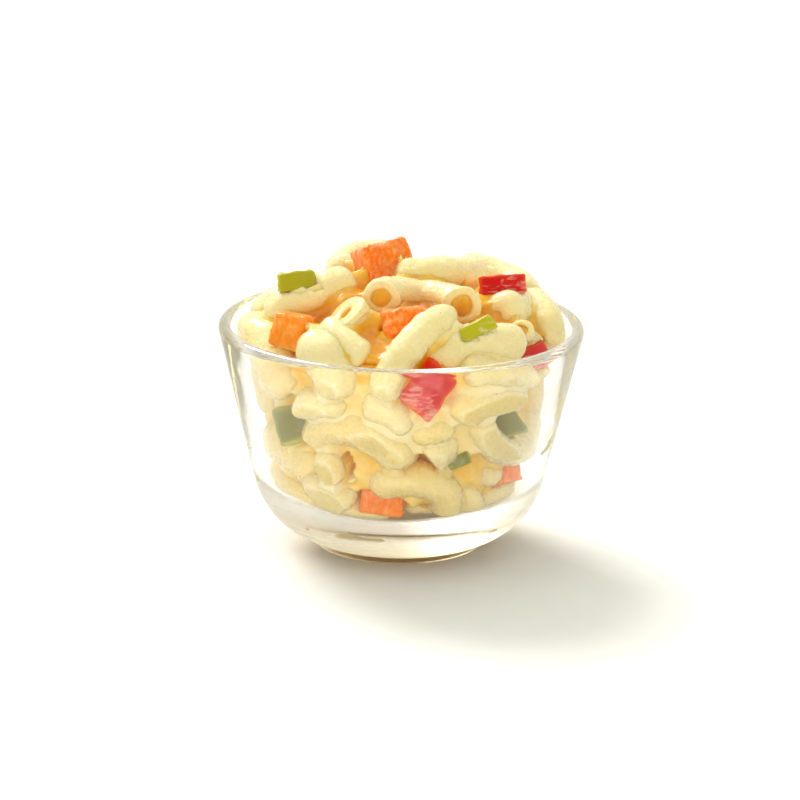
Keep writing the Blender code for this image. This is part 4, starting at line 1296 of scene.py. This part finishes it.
def makeBowl():
    profile = np.array([(max(r, 0.0), z) for r, z in bowlOutline()])
    mesh = bpy.data.meshes.new("glassBowl")
    edges = [(i, i + 1) for i in range(len(profile) - 1)]
    mesh.from_pydata([(r * mm, 0.0, z * mm) for r, z in profile], edges, [])
    obj = putInScene("glassBowl", mesh)
    screw = obj.modifiers.new("turn", "SCREW")
    screw.steps = screw.render_steps = bowl["turnSteps"]
    screw.use_merge_vertices = True
    screw.merge_threshold = 1e-7
    screw.use_smooth_shade = True
    bpy.context.view_layer.update()
    turned = bpy.data.meshes.new_from_object(obj.evaluated_get(bpy.context.evaluated_depsgraph_get()))
    obj.modifiers.clear()
    obj.data = turned
    turned.materials.clear()
    turned.materials.append(pressedGlass())
    turned.set_sharp_from_angle(angle=math.radians(35))
    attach(obj, "root")
    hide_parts("glass_bowl")


def makeMacaroni(heap):
    pieces = [piece for piece in heap.pieces if piece.kind == "macaroni"]
    dice = [piece for piece in heap.pieces if piece.kind != "macaroni"]
    joined, faces, mouths = macaroniMeshes(pieces, dice)
    points = joined["points"]
    values = {"tint": joined["tint"], "bore": joined["bore"]}
    values["depth"] = inParts(points, depthUnderOutline)
    values["gap"] = glassGap(points)
    obj = showPiece("macaroni", points, faces, pasta(), ["pasta_heap"], values)
    obj.data.calc_loop_triangles()
    print("macaroni,", len(pieces), "pieces,", len(obj.data.loop_triangles), "triangles")
    return points, faces, mouths


def makeDressing(pastaMesh, diceMeshes, mouths):
    hidden = joinMeshes([pastaMesh] + diceMeshes)
    points, faces = dressingMesh(hidden, len(pastaMesh[1]), mouths)
    values = {"depth": inParts(points, depthUnderOutline), "gap": glassGap(points)}
    # near the glass the painted depth shade of the dressing is weakened
    byGlass = points[:, 2] < bowl["rimTop"] - cream["glassFade"]
    values["depth"] *= np.where(byGlass, cream["lessPaintedShadeByGlass"], 1.0)
    obj = showPiece("creamyDressing", points, faces, mayonnaise(), ["pasta_heap"], values)
    obj.data.calc_loop_triangles()
    print("dressing,", len(obj.data.loop_triangles), "triangles")


def makeDice(heap):
    looks = {
        "carrot": (carrotFlesh(), ((3.4, 0.8), (0.9, 0.2))),
        "red_pepper": (
            pepperSkin("redBellPepper", "#A60008", "#DA0A02", "#E81000", "#F45C10", "#F8C0A8"),
            ((3.0, 0.65), (0.8, 0.14)),
        ),
        "green_pepper": (
            pepperSkin("greenBellPepper", "#343A00", "#646200", "#BCB418", "#B8B420", "#E0E0A0"),
            ((3.0, 0.65), (0.8, 0.14)),
        ),
    }
    counts = {kind: 0 for kind in diceKinds}
    meshes = []
    for piece in heap.pieces:
        if piece.kind == "macaroni":
            continue
        counts[piece.kind] += 1
        node = f"{piece.kind}_{counts[piece.kind]}"
        material, relief = looks[piece.kind]
        points, faces, skin, edge = diceShape(piece, relief, counts[piece.kind])
        points = pressToGlass(points, cut["press"], cut["reach"])
        meshes.append((points, faces))
        values = {"skin": skin, "edge": edge, "gap": glassGap(points)}
        values["tint"] = np.full(len(points), cut["ripe"].get(piece.name, cut["ripeElse"]))
        showPiece(node + "_cut", points, faces, material, [node], values)
    print("dice,", sum(counts.values()), "pieces")
    return meshes


def joinMeshes(meshes):
    points, faces, first = [], [], 0
    for partPoints, partFaces in meshes:
        points.append(partPoints)
        faces += [tuple(first + i for i in face) for face in partFaces]
        first += len(partPoints)
    return np.concatenate(points), faces


makeBowl()
pastaPoints, pastaFaces, mouths = makeMacaroni(salad)
makeDressing((pastaPoints, pastaFaces), makeDice(salad), mouths)


# Studio: white paper sweep, a broad light from behind on the left, soft fill
studio = {
    "floorSize": 8.0,
    "sunPower": 2.6,
    "sunAngle": math.radians(24),
    "sunFrom": (-0.5, 0.82, 0.95),
    "sky": "#FCFCEE",
    "skyPower": 1.0,
    "frontPower": 0.28,  # the room is less bright behind the camera
    "cardPlace": (-0.05, -1.15, 0.24),
    "cardSize": 0.6,
    "cardPower": 4.2,
    "windowPlace": (-0.3, -0.15, 1.1),
    "windowSize": 0.12,
    "windowPower": 0.5,
    "bounces": 32,
    "softBounces": 6,
}


def makeStudio():
    scene = bpy.context.scene
    made, add = newMaterial("mattWhitePaper")
    place = add("NewGeometry")
    fibre = add("TexNoise", {"Scale": 1 / (6 * mm), "Detail": 2.0}, {"Vector": place})
    tone = add("Mix", {"data_type": "RGBA", 6: "#EEEEEC", 7: "#F2F2F0"}, {0: fibre})
    shader = add("BsdfPrincipled", {"Roughness": 0.9, "Specular IOR Level": 0.2}, {"Base Color": tone})
    add("OutputMaterial", links={"Surface": shader})
    half = studio["floorSize"] / 2
    mesh = bpy.data.meshes.new("paperFloor")
    corners = [(-half, -half, 0), (half, -half, 0), (half, half, 0), (-half, half, 0)]
    mesh.from_pydata(corners, [], [(0, 1, 2, 3)])
    mesh.materials.append(made)
    floor = putInScene("paperFloor", mesh)
    floor.visible_glossy = False  # the white paper would mirror in the glass and veil the salad

    world = bpy.data.worlds.new("softRoom")
    world.use_nodes = True
    scene.world = world
    background = world.node_tree.nodes["Background"]
    background.inputs["Color"].default_value = linear(studio["sky"])
    add = partial(addNode, world.node_tree)
    toward = add("TexCoord")
    split = add("SeparateXYZ", links={"Vector": toward})
    dimmed = add(
        "MapRange",
        {"From Min": -1.0, "From Max": 0.1, "To Min": studio["frontPower"], "To Max": studio["skyPower"]},
        {"Value": split.outputs["Y"]},
    )
    world.node_tree.links.new(dimmed.outputs[0], background.inputs["Strength"])

    sun = bpy.data.lights.new("skyLight", "SUN")
    sun.energy = studio["sunPower"]
    sun.angle = studio["sunAngle"]
    turnTo(putInScene("skyLight", sun), studio["sunFrom"])

    # the card fills the front without a reflection of its own, and the window gives the small highlights
    for name in ("card", "window"):
        light = bpy.data.lights.new(name + "Light", "AREA")
        light.energy = studio[name + "Power"]
        light.size = studio[name + "Size"]
        lightObject = putInScene(name + "Light", light)
        lightObject.location = studio[name + "Place"]
        turnTo(lightObject, studio[name + "Place"])
        lightObject.visible_glossy = name == "window"

    # thick glass in a white room stays bright only if its light may bounce often
    for way in ("max_bounces", "transmission_bounces", "transparent_max_bounces", "glossy_bounces"):
        setattr(scene.cycles, way, studio["bounces"])
    scene.cycles.diffuse_bounces = studio["softBounces"]

    lens = bpy.data.cameras.new("camera")
    lens.lens = eye["lens"]
    lens.sensor_width = 36
    lens.clip_start = 0.01
    camera = putInScene("camera", lens)
    camera.location = eyePoint * mm
    turnTo(camera, sight, "-Z")
    camera.rotation_quaternion @= Matrix.Rotation(eye["roll"], 3, "Z").to_quaternion()
    scene.camera = camera
    scene.view_settings.view_transform = "Standard"
    print("studio set")


makeStudio()
